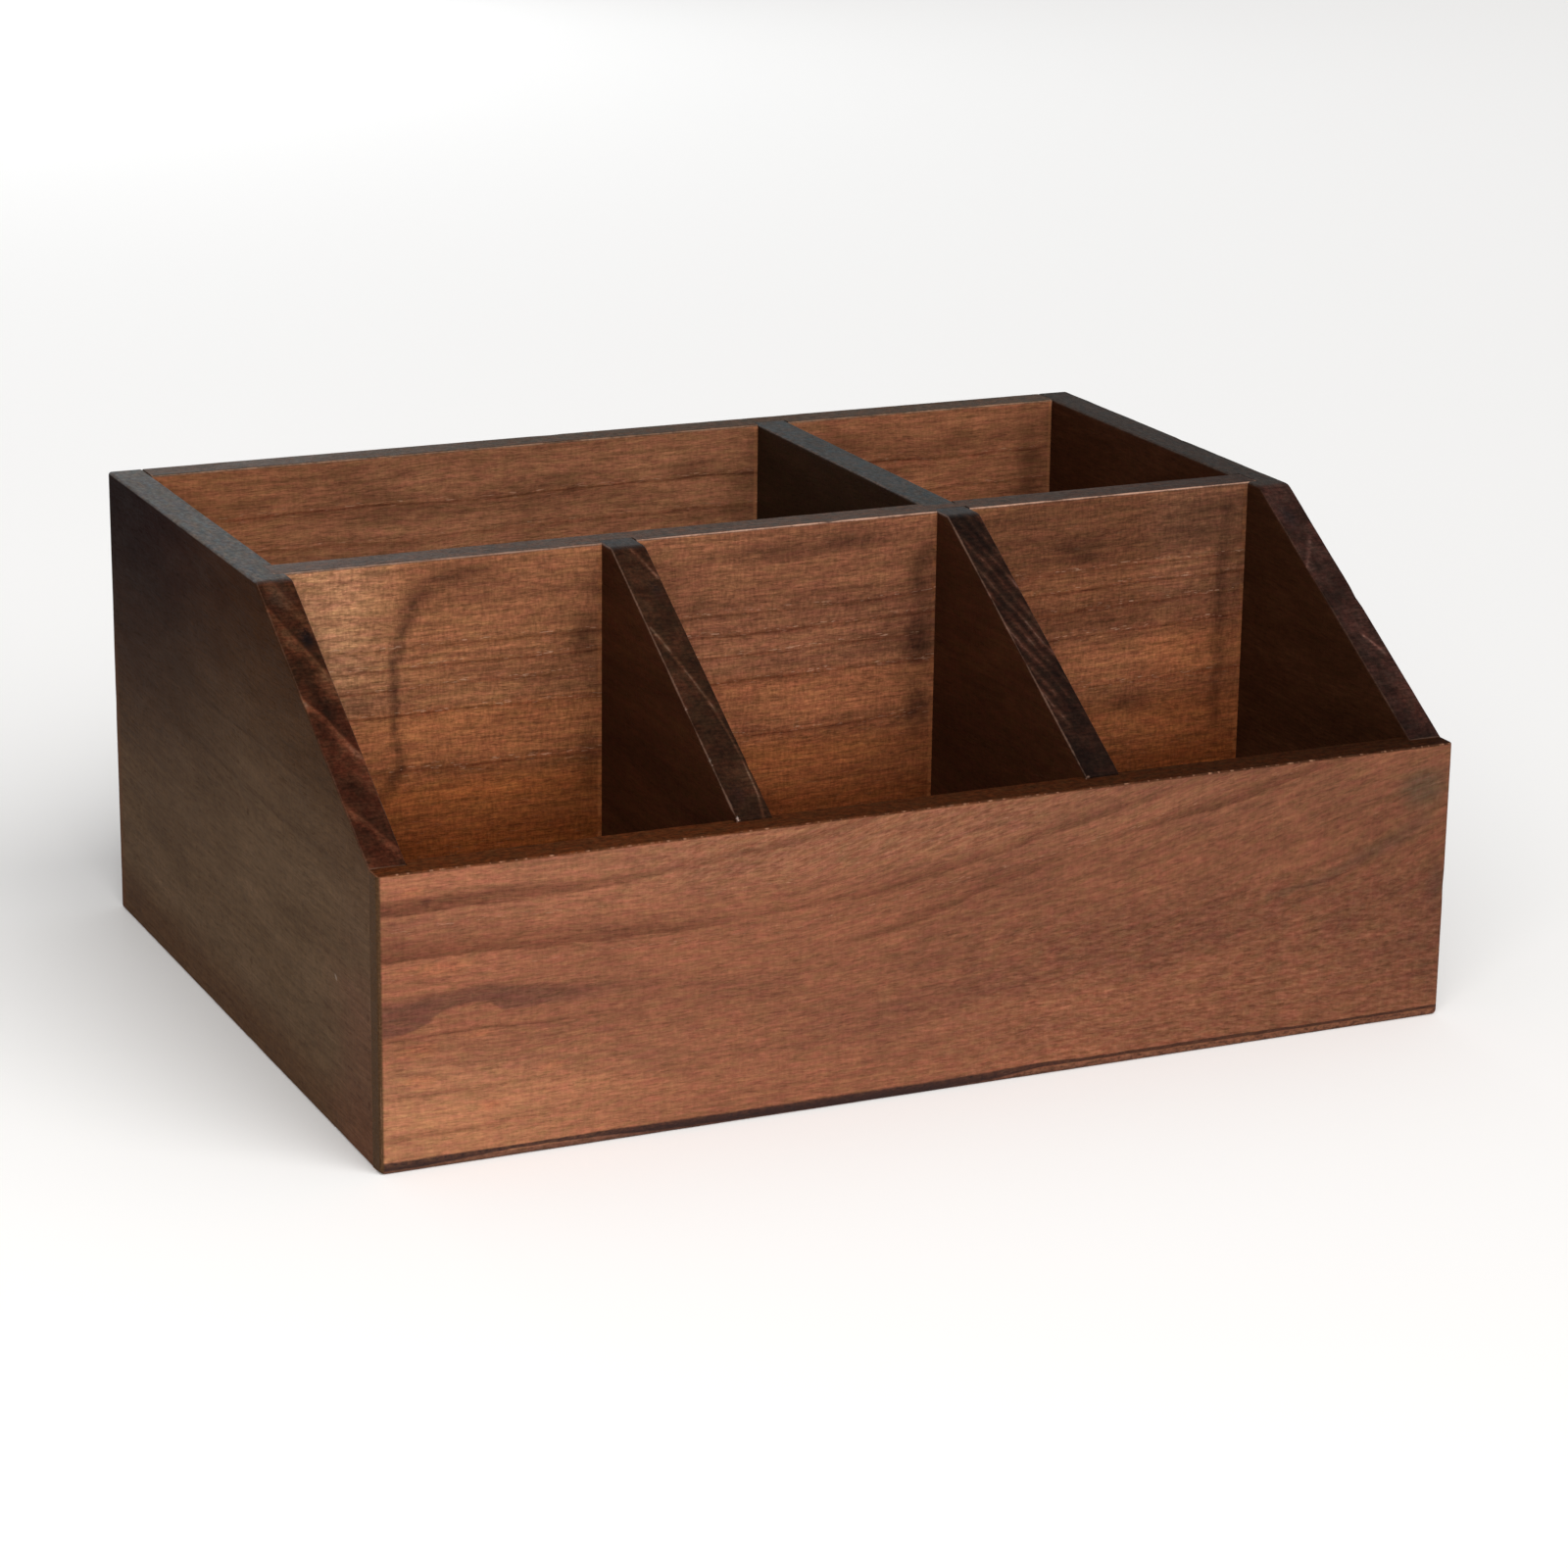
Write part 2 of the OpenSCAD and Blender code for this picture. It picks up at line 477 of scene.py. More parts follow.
def stations(lo, hi, step, keep=1.6):
    n = max(1, int(round((hi - lo - 2 * keep) / step)))
    return [lo + keep + (hi - lo - 2 * keep) * i / n for i in range(n + 1)]


def middle_of(a, b, c):
    return sorted((a, b, c))[1]


class Board:
    """One board: its mesh in millimetres, with worn edges."""

    def __init__(self, name, outline, axis, lo, hi, seed):
        self.name = name
        self.seed = seed
        self.bm = prism(outline, axis, lo, hi)
        cs = [v.co.copy() for v in self.bm.verts]
        self.lo = Vector((min(c.x for c in cs), min(c.y for c in cs),
                          min(c.z for c in cs)))
        self.hi = Vector((max(c.x for c in cs), max(c.y for c in cs),
                          max(c.z for c in cs)))
        self.cuts = []
        self.sloped = any(abs(p[1] - H) > 1 and p[1] > 10 for p in outline) \
            and axis == "x"

    def depth(self, c):
        dx = min(c.x - self.lo.x, self.hi.x - c.x)
        dy = min(c.y - self.lo.y, self.hi.y - c.y)
        dz = min(c.z - self.lo.z, self.hi.z - c.z)
        if self.sloped:
            s = (HF + (c.y - YL) * math.tan(FALL) - c.z) * math.cos(FALL)
            dz = min(dz, s)
        return middle_of(dx, dy, dz)

    def wear(self, amount, reach, chips=()):
        self.bm.normal_update()
        off = Vector((self.seed * 17.3, self.seed * 5.1, self.seed * 9.7))
        moves = []
        for v in self.bm.verts:
            m = self.depth(v.co)
            if m > reach:
                continue
            w = 1.0 - m / reach
            n = mnoise.noise(v.co / 11.0 + off) * 0.6 \
                + mnoise.noise(v.co / 3.2 + off) * 0.4
            d = amount * w * max(0.0, 0.35 + n)
            for (cx, cy, cz, r, depth) in chips:
                k = (v.co - Vector((cx, cy, cz))).length / r
                if k < 1.0:
                    d += depth * w * (1 - k * k) ** 2
            moves.append((v, v.normal * -d))
        for v, d in moves:
            v.co += d

    def cut(self, x0, x1, y0, y1, z0, z1):
        self.cuts.append(("box", x0, x1, y0, y1, z0, z1))

    def bores(self, places):
        self.cuts.append(("bores", places))

    def to_object(self):
        me = bpy.data.meshes.new(self.name)
        self.bm.to_mesh(me)
        self.bm.free()
        ob = bpy.data.objects.new(self.name, me)
        bpy.context.scene.collection.objects.link(ob)
        cutters = []
        for c in self.cuts:
            cb = bmesh.new()
            if c[0] == "box":
                _, x0, x1, y0, y1, z0, z1 = c
                m = Matrix.Translation(((x0 + x1) / 2, (y0 + y1) / 2,
                                        (z0 + z1) / 2)) \
                    @ Matrix.Diagonal((x1 - x0, y1 - y0, z1 - z0, 1))
                bmesh.ops.create_cube(cb, size=1.0, matrix=m)
            else:
                for x, y, r, depth in c[1]:
                    bmesh.ops.create_cone(
                        cb, cap_ends=True, segments=20, radius1=r, radius2=r,
                        depth=depth + 1,
                        matrix=Matrix.Translation((x, y, (depth - 1) / 2)))
            cm = bpy.data.meshes.new(self.name + "_cut")
            cb.to_mesh(cm)
            cb.free()
            cutter = bpy.data.objects.new(self.name + "_cut", cm)
            bpy.context.scene.collection.objects.link(cutter)
            cutters.append(cutter)
            mod = ob.modifiers.new("joinery", "BOOLEAN")
            mod.operation = "DIFFERENCE"
            mod.solver = "EXACT"
            mod.object = cutter
        if cutters:
            bpy.context.view_layer.update()
            dg = bpy.context.evaluated_depsgraph_get()
            done = bpy.data.meshes.new_from_object(ob.evaluated_get(dg))
            ob.modifiers.clear()
            ob.data = done
            bpy.data.meshes.remove(me)
            done.name = self.name
            for cutter in cutters:
                cm = cutter.data
                bpy.data.objects.remove(cutter)
                bpy.data.meshes.remove(cm)
        ob.data.transform(Matrix.Scale(MM, 4))
        for p in ob.data.polygons:
            p.use_smooth = True
        ob.data.set_sharp_from_angle(angle=math.radians(42))
        w = ob.modifiers.new("normals", "WEIGHTED_NORMAL")
        w.keep_sharp = True
        w.weight = 90
        ob.data.materials.clear()
        return ob


def near(a, b, tol=0.3):
    return abs(a - b) < tol


def side_board(name, s, seed):
    xo = X0 if s < 0 else X1
    xi = xo - s * T
    b = Board(name, profile(YL, Y1, 0.0), "x", min(xo, xi), max(xo, xi), seed)
    # eased outside corners first, then the arrises of the top and the slope
    round_edges(b.bm, lambda m, d: near(m.y, Y1) and near(m.x, xo)
                and abs(d.z) > 0.9, 1.2, 4)
    round_edges(b.bm, lambda m, d: (near(m.x, xo, 1.4) or near(m.x, xi, 0.5)
                                    or near(m.y, Y1, 1.5))
                and m.z > 70 and not near(m.y, YL, 0.2) and abs(d.z) < 0.9
                or (near(m.x, xi) and near(m.y, Y1) and abs(d.z) > 0.9),
                0.75, 3)
    round_edges(b.bm, lambda m, d: near(m.z, 0.0) and not near(m.y, YL, 0.2),
                0.8, 3)
    round_edges(b.bm, lambda m, d: True, 0.18, 1)
    slice_all(b.bm, "y", stations(YL, Y1, 3.4))
    slice_all(b.bm, "z", stations(0, H, 5.0) + [HF - 4])
    b.wear(0.14, 1.5, [(xo, -60.0, 106.0, 2.6, 0.35),
                       (xi, -35.0, 121.0, 2.2, 0.30),
                       (xo, 40.0, 129.0, 2.5, 0.25),
                       (xo, 112.0, 60.0, 3.0, 0.3)])
    g = 0.02
    b.cut(*(sorted((xo - s * LIP, xi - s * 1.0))), YL - 1, Y1 - LIP + g,
          -1, TB + g)
    b.cut(*(sorted((xi + s * DADO, xi - s * 1.0))), YM - g, YM + T + g,
          TB, H + 1)
    return b.to_object()


def front_board():
    b = Board("front_board", rect(X0, X1, 0, HF), "y", Y0, Y0 + T, 3)
    round_edges(b.bm, lambda m, d: near(m.y, Y0) and abs(d.z) > 0.9, 1.3, 4)
    round_edges(b.bm, lambda m, d: near(m.z, HF), 0.6, 3)
    round_edges(b.bm, lambda m, d: near(m.z, 0.0, 0.1) and m.y < Y0 + 1.5,
                1.4, 4)
    round_edges(b.bm, lambda m, d: True, 0.18, 1)
    slice_all(b.bm, "x", stations(X0, X1, 2.6))
    slice_all(b.bm, "z", stations(0, HF, 4.5))
    b.wear(0.13, 1.5, [(X0 + 0.6, Y0, HF - 0.6, 2.6, 0.5),
                       (128.0, Y0, HF, 2.2, 0.55),
                       (131.5, Y0, HF, 1.3, 0.3),
                       (36.0, Y0, HF, 4.5, 0.35),
                       (X1, Y0, 37.0, 2.0, 0.5),
                       (-60.0, Y0, HF, 3.0, 0.25),
                       (84.0, Y0 + T, HF, 3.0, 0.3)])
    g = 0.02
    for s in (-1, 1):
        xo = X0 if s < 0 else X1
        xi = xo - s * T
        b.cut(*(sorted((xo + s * 1.0, xi - s * g))), YL, YL + 5, -1, HF + 1)
    b.cut(X0 + LIP - g, X1 - LIP + g, YL, YL + 5, -1, TB + g)
    for x in (D1, D2):
        b.cut(x - g, x + T + g, Y0 + T - DADO - g, Y0 + T + 1, TB - 1, HF + 1)
    return b.to_object()


def back_board():
    b = Board("back_board", rect(X0 + T, X1 - T, 0, H), "y", Y1 - T, Y1, 4)
    round_edges(b.bm, lambda m, d: near(m.z, H) and abs(d.x) > 0.9, 0.7, 3)
    round_edges(b.bm, lambda m, d: near(m.z, 0) and near(m.y, Y1), 0.8, 3)
    round_edges(b.bm, lambda m, d: True, 0.18, 1)
    slice_all(b.bm, "x", stations(X0 + T, X1 - T, 3.4))
    slice_all(b.bm, "z", stations(0, H, 6.0))
    b.wear(0.12, 1.3, [(-20.0, Y1, H, 3.0, 0.35), (90.0, Y1 - T, H, 2.5, 0.3)])
    g = 0.02
    b.cut(X0, X1, Y1 - T - 1, Y1 - LIP + g, -1, TB + g)
    b.cut(D3 - g, D3 + T + g, Y1 - T - 1, Y1 - T + DADO + g, TB - 1, H + 1)
    return b.to_object()


def middle_board():
    xa, xb = X0 + T - DADO, X1 - T + DADO
    b = Board("middle_board", rect(xa, xb, TB, H), "y", YM, YM + T, 5)
    round_edges(b.bm, lambda m, d: near(m.z, H) and abs(d.x) > 0.9, 0.6, 3)
    round_edges(b.bm, lambda m, d: True, 0.15, 1)
    slice_all(b.bm, "x", stations(xa, xb, 3.0))
    slice_all(b.bm, "z", stations(TB, H, 6.0))
    b.wear(0.12, 1.3, [(-122.0, YM, H, 1.6, 0.35), (-104.0, YM, H, 1.3, 0.3),
                       (-70.0, YM, H, 2.0, 0.3), (12.0, YM, H, 2.6, 0.25),
                       (80.0, YM, H, 2.0, 0.25)])
    g = 0.02
    for x in (D1, D2):
        b.cut(x - g, x + T + g, YM - 1, YM + DADO + g, TB - 1, H + 1)
    b.cut(D3 - g, D3 + T + g, YM + T - DADO - g, YM + T + 1, TB - 1, H + 1)
    return b.to_object()


def front_divider_board(name, x, seed, chips):
    b = Board(name, profile(Y0 + T - DADO, YM + DADO, TB), "x", x, x + T, seed)
    round_edges(b.bm, lambda m, d: (near(m.x, x) or near(m.x, x + T))
                and m.z > HF + 0.5 and m.y > Y0 + T - DADO + 0.2
                and m.y < YM + DADO - 0.2, 0.7, 3)
    round_edges(b.bm, lambda m, d: True, 0.15, 1)
    slice_all(b.bm, "y", stations(Y0 + T - DADO, YM + DADO, 2.6))
    slice_all(b.bm, "z", stations(TB, H, 6.0))
    b.wear(0.15, 1.3, chips)
    return b.to_object()


def rear_divider_board():
    b = Board("rear_divider_board",
              rect(YM + T - DADO, Y1 - T + DADO, TB, H), "x", D3, D3 + T, 8)
    round_edges(b.bm, lambda m, d: near(m.z, H) and abs(d.y) > 0.9, 0.7, 3)
    round_edges(b.bm, lambda m, d: True, 0.15, 1)
    slice_all(b.bm, "y", stations(YM + T - DADO, Y1 - T + DADO, 3.4))
    slice_all(b.bm, "z", stations(TB, H, 7.0))
    b.wear(0.14, 1.3, [(D3, 60.0, H, 2.5, 0.3), (D3, 62.0, H, 1.5, 0.3)])
    return b.to_object()


BOTTOM_BRADS = [(s * 144.5, y) for s in (-1, 1)
                for y in (-62.5, 29.5, 79.5)] \
    + [(x, y) for y in (-104.5, 104.5, -11.0) for x in (-102.5, 0.0, 102.5)] \
    + [(x + 5, y) for x in (D1, D2) for y in (-79.5, -42.5)] \
    + [(D3 + 5, y) for y in (27.5, 77.5)]


def bottom_board():
    b = Board("bottom_board",
              rect(X0 + LIP, X1 - LIP, Y0 + LIP, Y1 - LIP), "z", 0.0, TB, 9)
    round_edges(b.bm, lambda m, d: True, 0.25, 2)
    slice_all(b.bm, "x", stations(X0 + LIP, X1 - LIP, 9.0))
    slice_all(b.bm, "y", stations(Y0 + LIP, Y1 - LIP, 9.0))
    b.wear(0.1, 0.9)
    b.bores([(x, y, 1.1, 0.2) for x, y in BOTTOM_BRADS])
    return b.to_object()


# ---- Stained wood -----------------------------------------------------------------

def lin(h):
    """Linear colour from a hex sRGB triple."""
    out = []
    for i in (0, 2, 4):
        c = int(h[i:i + 2], 16) / 255.0
        out.append(c / 12.92 if c <= 0.04045 else ((c + 0.055) / 1.055) ** 2.4)
    return tuple(out)


def wood(name, grain, seed, light, mid, dark, lines, tilt=(1.0, 0.35),
         span=(0.0, 130.0), line_k=0.45, warp_k=1.0, mottle=0.8,
         fibre_k=0.20, cross_k=0.06, lo=(0, 0, 0), hi=(1, 1, 1),
         sloped=False, extra=None, rough=0.52, sheen_top=0.42, specks=0.5,
         wear_highlight_k=0.5, edge=("3c3c3c", "2a2422", "4a3a30"), top_falloff_lr=None,
         slope=None, spec=0.03, wear_highlight_col="c49073", wear_highlight_on=None, flow=None,
         hue_k=1.0, long_k=1.0, edge_k=1.0):
    """Board material. The grain runs along `grain`; rings are planes tilted in
    the cross-section; `lines` are (place, softness, darkness) across them."""
    g = Graph(name)
    x, y, z = g.x, g.y, g.z
    if grain == "x":
        u, a, b = x, z, y
    else:
        u, a, b = y, z, x
    sx = seed * 37.0

    def span01(v, lo_, hi_):
        return g.remap(v, lo_, hi_, 0.0, 1.0)

    # slow bend of the rings along the board
    bend = g.noise(g.vec(u * (1 / 85.0) + sx, a * (1 / 30.0), b * (1 / 30.0)),
                   1.0, 2.0, 0.5)
    small = g.noise(g.vec(u * (1 / 14.0) + sx, a * (1 / 5.0), b * (1 / 5.0)),
                    1.0, 2.0, 0.55)
    af = a if flow is None else a - flow(g)
    bent = af + (bend - 0.5) * (7.0 * warp_k)
    rho = bent * tilt[0] + b * tilt[1] + (small - 0.5) * (1.5 * warp_k)

    # placed growth lines: a thin dark line in a soft shade
    s0, s1 = span
    k = 1.0 / (s1 - s0)
    stops = [(0.0, 0.0)]
    for place, soft, darkness in sorted(lines):
        for pos, val in ((place - soft, 0.0), (place - 0.45, darkness * 0.3),
                         (place - 0.2, darkness), (place + 0.15, darkness),
                         (place + 0.45, darkness * 0.2),
                         (place + 0.45 + soft * 0.4, 0.0)):
            t = (pos - s0) * k
            if t > stops[-1][0] + 1e-4 and t < 1.0:
                stops.append((t, val))
    along = g.noise(g.vec(u * (1 / 24.0) + sx, a * (1 / 6.0), b * (1 / 9.0)),
                    1.0, 3.0, 0.6)
    vary = g.remap(along, 0.34, 0.62, 0.45, 1.1)
    placed = g.clamp(g.grey(g.ramp((rho - s0) * k, stops[:31])) * vary)
    above = g.grey(g.ramp((rho - s0 - 0.9) * k, stops[:31]))

    # faint rings everywhere between the placed ones
    r1 = g.noise(g.vec(u * 0.004 + sx, rho * (1 / 3.1), 0.37), 1.0, 3.0, 0.6)
    faint = g.step(r1, 0.50, 0.66)
    r2 = span01(g.noise(g.vec(u * 0.007 + sx, rho * (1 / 1.2), 2.1), 1.0, 2.0,
                        0.6), 0.34, 0.66)

    # fibres and pores, long and thin, along the bent rings
    lk = 1.0 / long_k
    f1 = span01(g.noise(g.vec(u * (0.19 * lk) + sx, bent * 1.0, b * 1.0), 1.0,
                        3.0, 0.62), 0.36, 0.64)
    f2 = span01(g.noise(g.vec(u * (0.50 * lk) + sx, bent * 1.9, b * 1.9), 1.0,
                        2.0, 0.65), 0.37, 0.63)
    fib = f1 * 0.45 + f2 * 0.55
    f0 = span01(g.noise(g.vec(u * 0.035 + sx, bent * 1.2, b * 1.2), 1.0, 3.0,
                        0.6), 0.36, 0.64)
    pore = g.step(g.noise(g.vec(u * 0.30 + sx, bent * 2.6, b * 2.6), 1.0, 1.0,
                          0.5), 0.60, 0.68)
    dsh = g.noise(g.vec(u * 0.40 + sx + 9.0, bent * 2.9, b * 2.9), 1.0, 1.0,
                  0.5)
    dash = g.step(dsh + above * 0.05, 0.66, 0.71)
    cross = span01(g.noise(g.vec(u * 1.2 + sx, a * 0.35, b * 0.5), 1.0, 2.0,
                           0.6), 0.37, 0.63)

    # broad changes of tone in the stain
    broad = span01(g.noise(g.vec(u * (1 / 70.0) + sx, bent * (1 / 14.0),
                                 b * (1 / 17.0)), 1.0, 3.0, 0.55), 0.32, 0.68)
    blot = g.noise(g.vec(u * (1 / 22.0) + sx, bent * (1 / 9.0), b * (1 / 9.0)),
                   1.0, 4.0, 0.62, 0.4)
    bl = span01(blot, 0.34, 0.66)
    patch = span01(g.noise(g.vec(u * (1 / 6.5) + sx, bent * (1 / 1.7),
                                 b * (1 / 1.7)), 1.0, 3.0, 0.6), 0.36, 0.64)
    tone = g.clamp((broad - 0.5) * mottle + (bl - 0.5) * mottle * 0.5
                   + (patch - 0.5) * mottle * 0.5 + 0.5)
    col = g.ramp(tone, [(0.0, dark), (0.5, mid), (1.0, light)])
    # the stain is pinker in some places and more olive in others
    hue = span01(g.noise(g.vec(u * (1 / 6.0) + sx, bent * (1 / 1.5),
                               b * (1 / 1.5) + 5.0), 1.0, 4.0, 0.65),
                 0.36, 0.64)
    col = g.mix(hue_k, col, g.mix(
        1.0, col, g.mix(hue, (1.06, 0.94, 1.00), (0.95, 1.05, 0.93)),
        "MULTIPLY"))

    k = 1.0 - faint * (line_k * 0.16)
    k = k * g.remap(r2, 0.0, 1.0, 1.0 - line_k * 0.12, 1.0 + line_k * 0.12)
    k = k * g.remap(fib, 0.0, 1.0, 1.0 - fibre_k, 1.0 + fibre_k)
    k = k * g.remap(f0, 0.0, 1.0, 1.0 - fibre_k * 0.5, 1.0 + fibre_k * 0.5)
    k = k * g.remap(cross, 0.0, 1.0, 1.0 - cross_k, 1.0 + cross_k)
    k = k * (1.0 - pore * 0.16)
    col = g.tint(col, k)
    col = g.mix(placed * line_k, col,
                g.mix(1.0, col, (0.38, 0.23, 0.18), "MULTIPLY"))

    d = dict(u=u, a=a, b=b, placed=placed, blot=blot, bl=bl, fib=fib, rho=rho,
             small=small, sx=sx, bent=bent, cross=cross, f1=f1, f2=f2, k=k,
             tone=tone)
    lift = 0.0
    if extra is not None:
        col, lift = extra(g, col, d)

    # distances to the faces
    dx = g.min(x - lo[0], hi[0] - x)
    dy = g.min(y - lo[1], hi[1] - y)
    dt = hi[2] - z
    if sloped:
        sd = (HF * math.cos(FALL)) + (y - YL) * math.sin(FALL) \
            - z * math.cos(FALL)
        dt = g.min(dt, sd)
    dz = g.min(z - lo[2], dt)
    med = g.max(g.min(dx, dy), g.min(g.max(dx, dy), dz))

    # pale specks of filler and dust in the pores
    if specks:
        near_line = g.clamp(above * 1.5 + 0.10)
        col = g.mix(g.clamp(dash * near_line * specks), col, lin("cfa58a"))

    # edge faces: scorched stain in brown patches, and grey patches that are a painted
    # sheen of the bright backdrop
    topm = 0.0
    if edge is not None:
        topm = g.step(dt, 0.75, 0.25)
        tn = span01(g.noise(g.vec(u * 0.07 + sx, 3.0, b * 0.45), 1.0, 4.0,
                            0.68), 0.36, 0.64)
        tq = span01(g.noise(g.vec(u * 0.16 + sx, 7.0, b * 0.9), 1.0, 4.0,
                            0.68), 0.36, 0.64)
        e1, e2, e3 = (lin(e) for e in edge)
        if top_falloff_lr is None:
            tm = g.mix(tn, e1, e2)
        else:
            # painted light falloff: the top goes from its first to its second colour
            # from left to right
            tm = g.mix(g.clamp(g.remap(x, top_falloff_lr[0], top_falloff_lr[1], 0.0, 1.0)
                               + (tn - 0.5) * 0.3), e1, e2)
        tm = g.mix(tq * 0.5, tm, e3)
        tf = span01(g.noise(g.vec(u * 0.50 + sx, 5.0, b * 0.7), 1.0, 3.0,
                            0.68), 0.37, 0.63)
        th = span01(g.noise(g.vec(u * 0.22 + sx, 9.0, b * 0.4), 1.0, 4.0,
                            0.7), 0.36, 0.64)
        tm = g.mix(edge_k, tm, g.mix(1.0, tm, g.mix(
            th, (1.24, 0.97, 0.84), (0.80, 1.03, 1.14)), "MULTIPLY"))
        tm = g.tint(tm, g.remap(fib, 0.0, 1.0, 0.78, 1.22)
                    * g.remap(tn, 0.0, 1.0, 0.80, 1.20)
                    * g.remap(tf, 0.0, 1.0, 0.66, 1.34))
        if slope is not None:
            tm = slope_look(g, tm, d, slope)
        col = g.mix(topm, col, tm)

    # worn arrises: pale wear, and a painted highlight along the lit arrises
    wn = g.noise(g.vec(x * 0.07 + sx, y * 0.07, z * 0.07), 1.0, 3.0, 0.6)
    fine = g.noise(g.vec(x * 0.9 + sx, y * 0.9, z * 0.9), 1.0, 3.0, 0.7)
    rub_and_highlight = g.step(med + (wn - 0.5) * 0.7 + (fine - 0.5) * 0.35, 0.55, 0.10)
    if wear_highlight_on is not None:
        rub_and_highlight = rub_and_highlight * wear_highlight_on(g)
    col = g.mix(rub_and_highlight * wear_highlight_k, col, lin(wear_highlight_col))

    rgh = g.remap(fib, 0.0, 1.0, rough - 0.05, rough + 0.07)
    rgh = rgh + (bl - 0.5) * 0.08 + pore * 0.10 + rub_and_highlight * 0.06
    if isinstance(topm, V):
        rgh = rgh * (1.0 - topm) + topm * (sheen_top + (fib - 0.5) * 0.10
                                           + (bl - 0.5) * 0.08)
    hgt = fib * 0.7 - pore * 0.5 - placed * 0.35 + cross * 0.15 \
        + fine * 0.15 - dash * 0.2
    if isinstance(lift, V):
        hgt = hgt + lift
    return g.finish(col, g.clamp(rgh), hgt, 0.09, spec=spec)


def steel():
    g = Graph("brad_steel")
    n = g.noise(g.vec(g.x * 0.8, g.y * 0.8, g.z * 0.8), 1.0, 4.0, 0.7)
    m = g.noise(g.vec(g.x * 4.0, g.y * 4.0, g.z * 4.0), 1.0, 3.0, 0.6)
    col = g.mix(g.step(n, 0.42, 0.62), lin("6a655e"), lin("3a2c22"))
    mat = g.finish(col, g.remap(m, 0.3, 0.7, 0.35, 0.6), m, 0.02)
    p = [q for q in g.nt.nodes if q.type == "BSDF_PRINCIPLED"][0]
    p.inputs["Metallic"].default_value = 0.85
    return mat


# -- what each face shows --

def front_flow(g):
    """The grain of the front panel climbs to the right in its upper part."""
    s = g.x - X0
    return g.max(s - 112.0, 0.0) * g.step(g.z, -4.0, 78.0) * 0.17


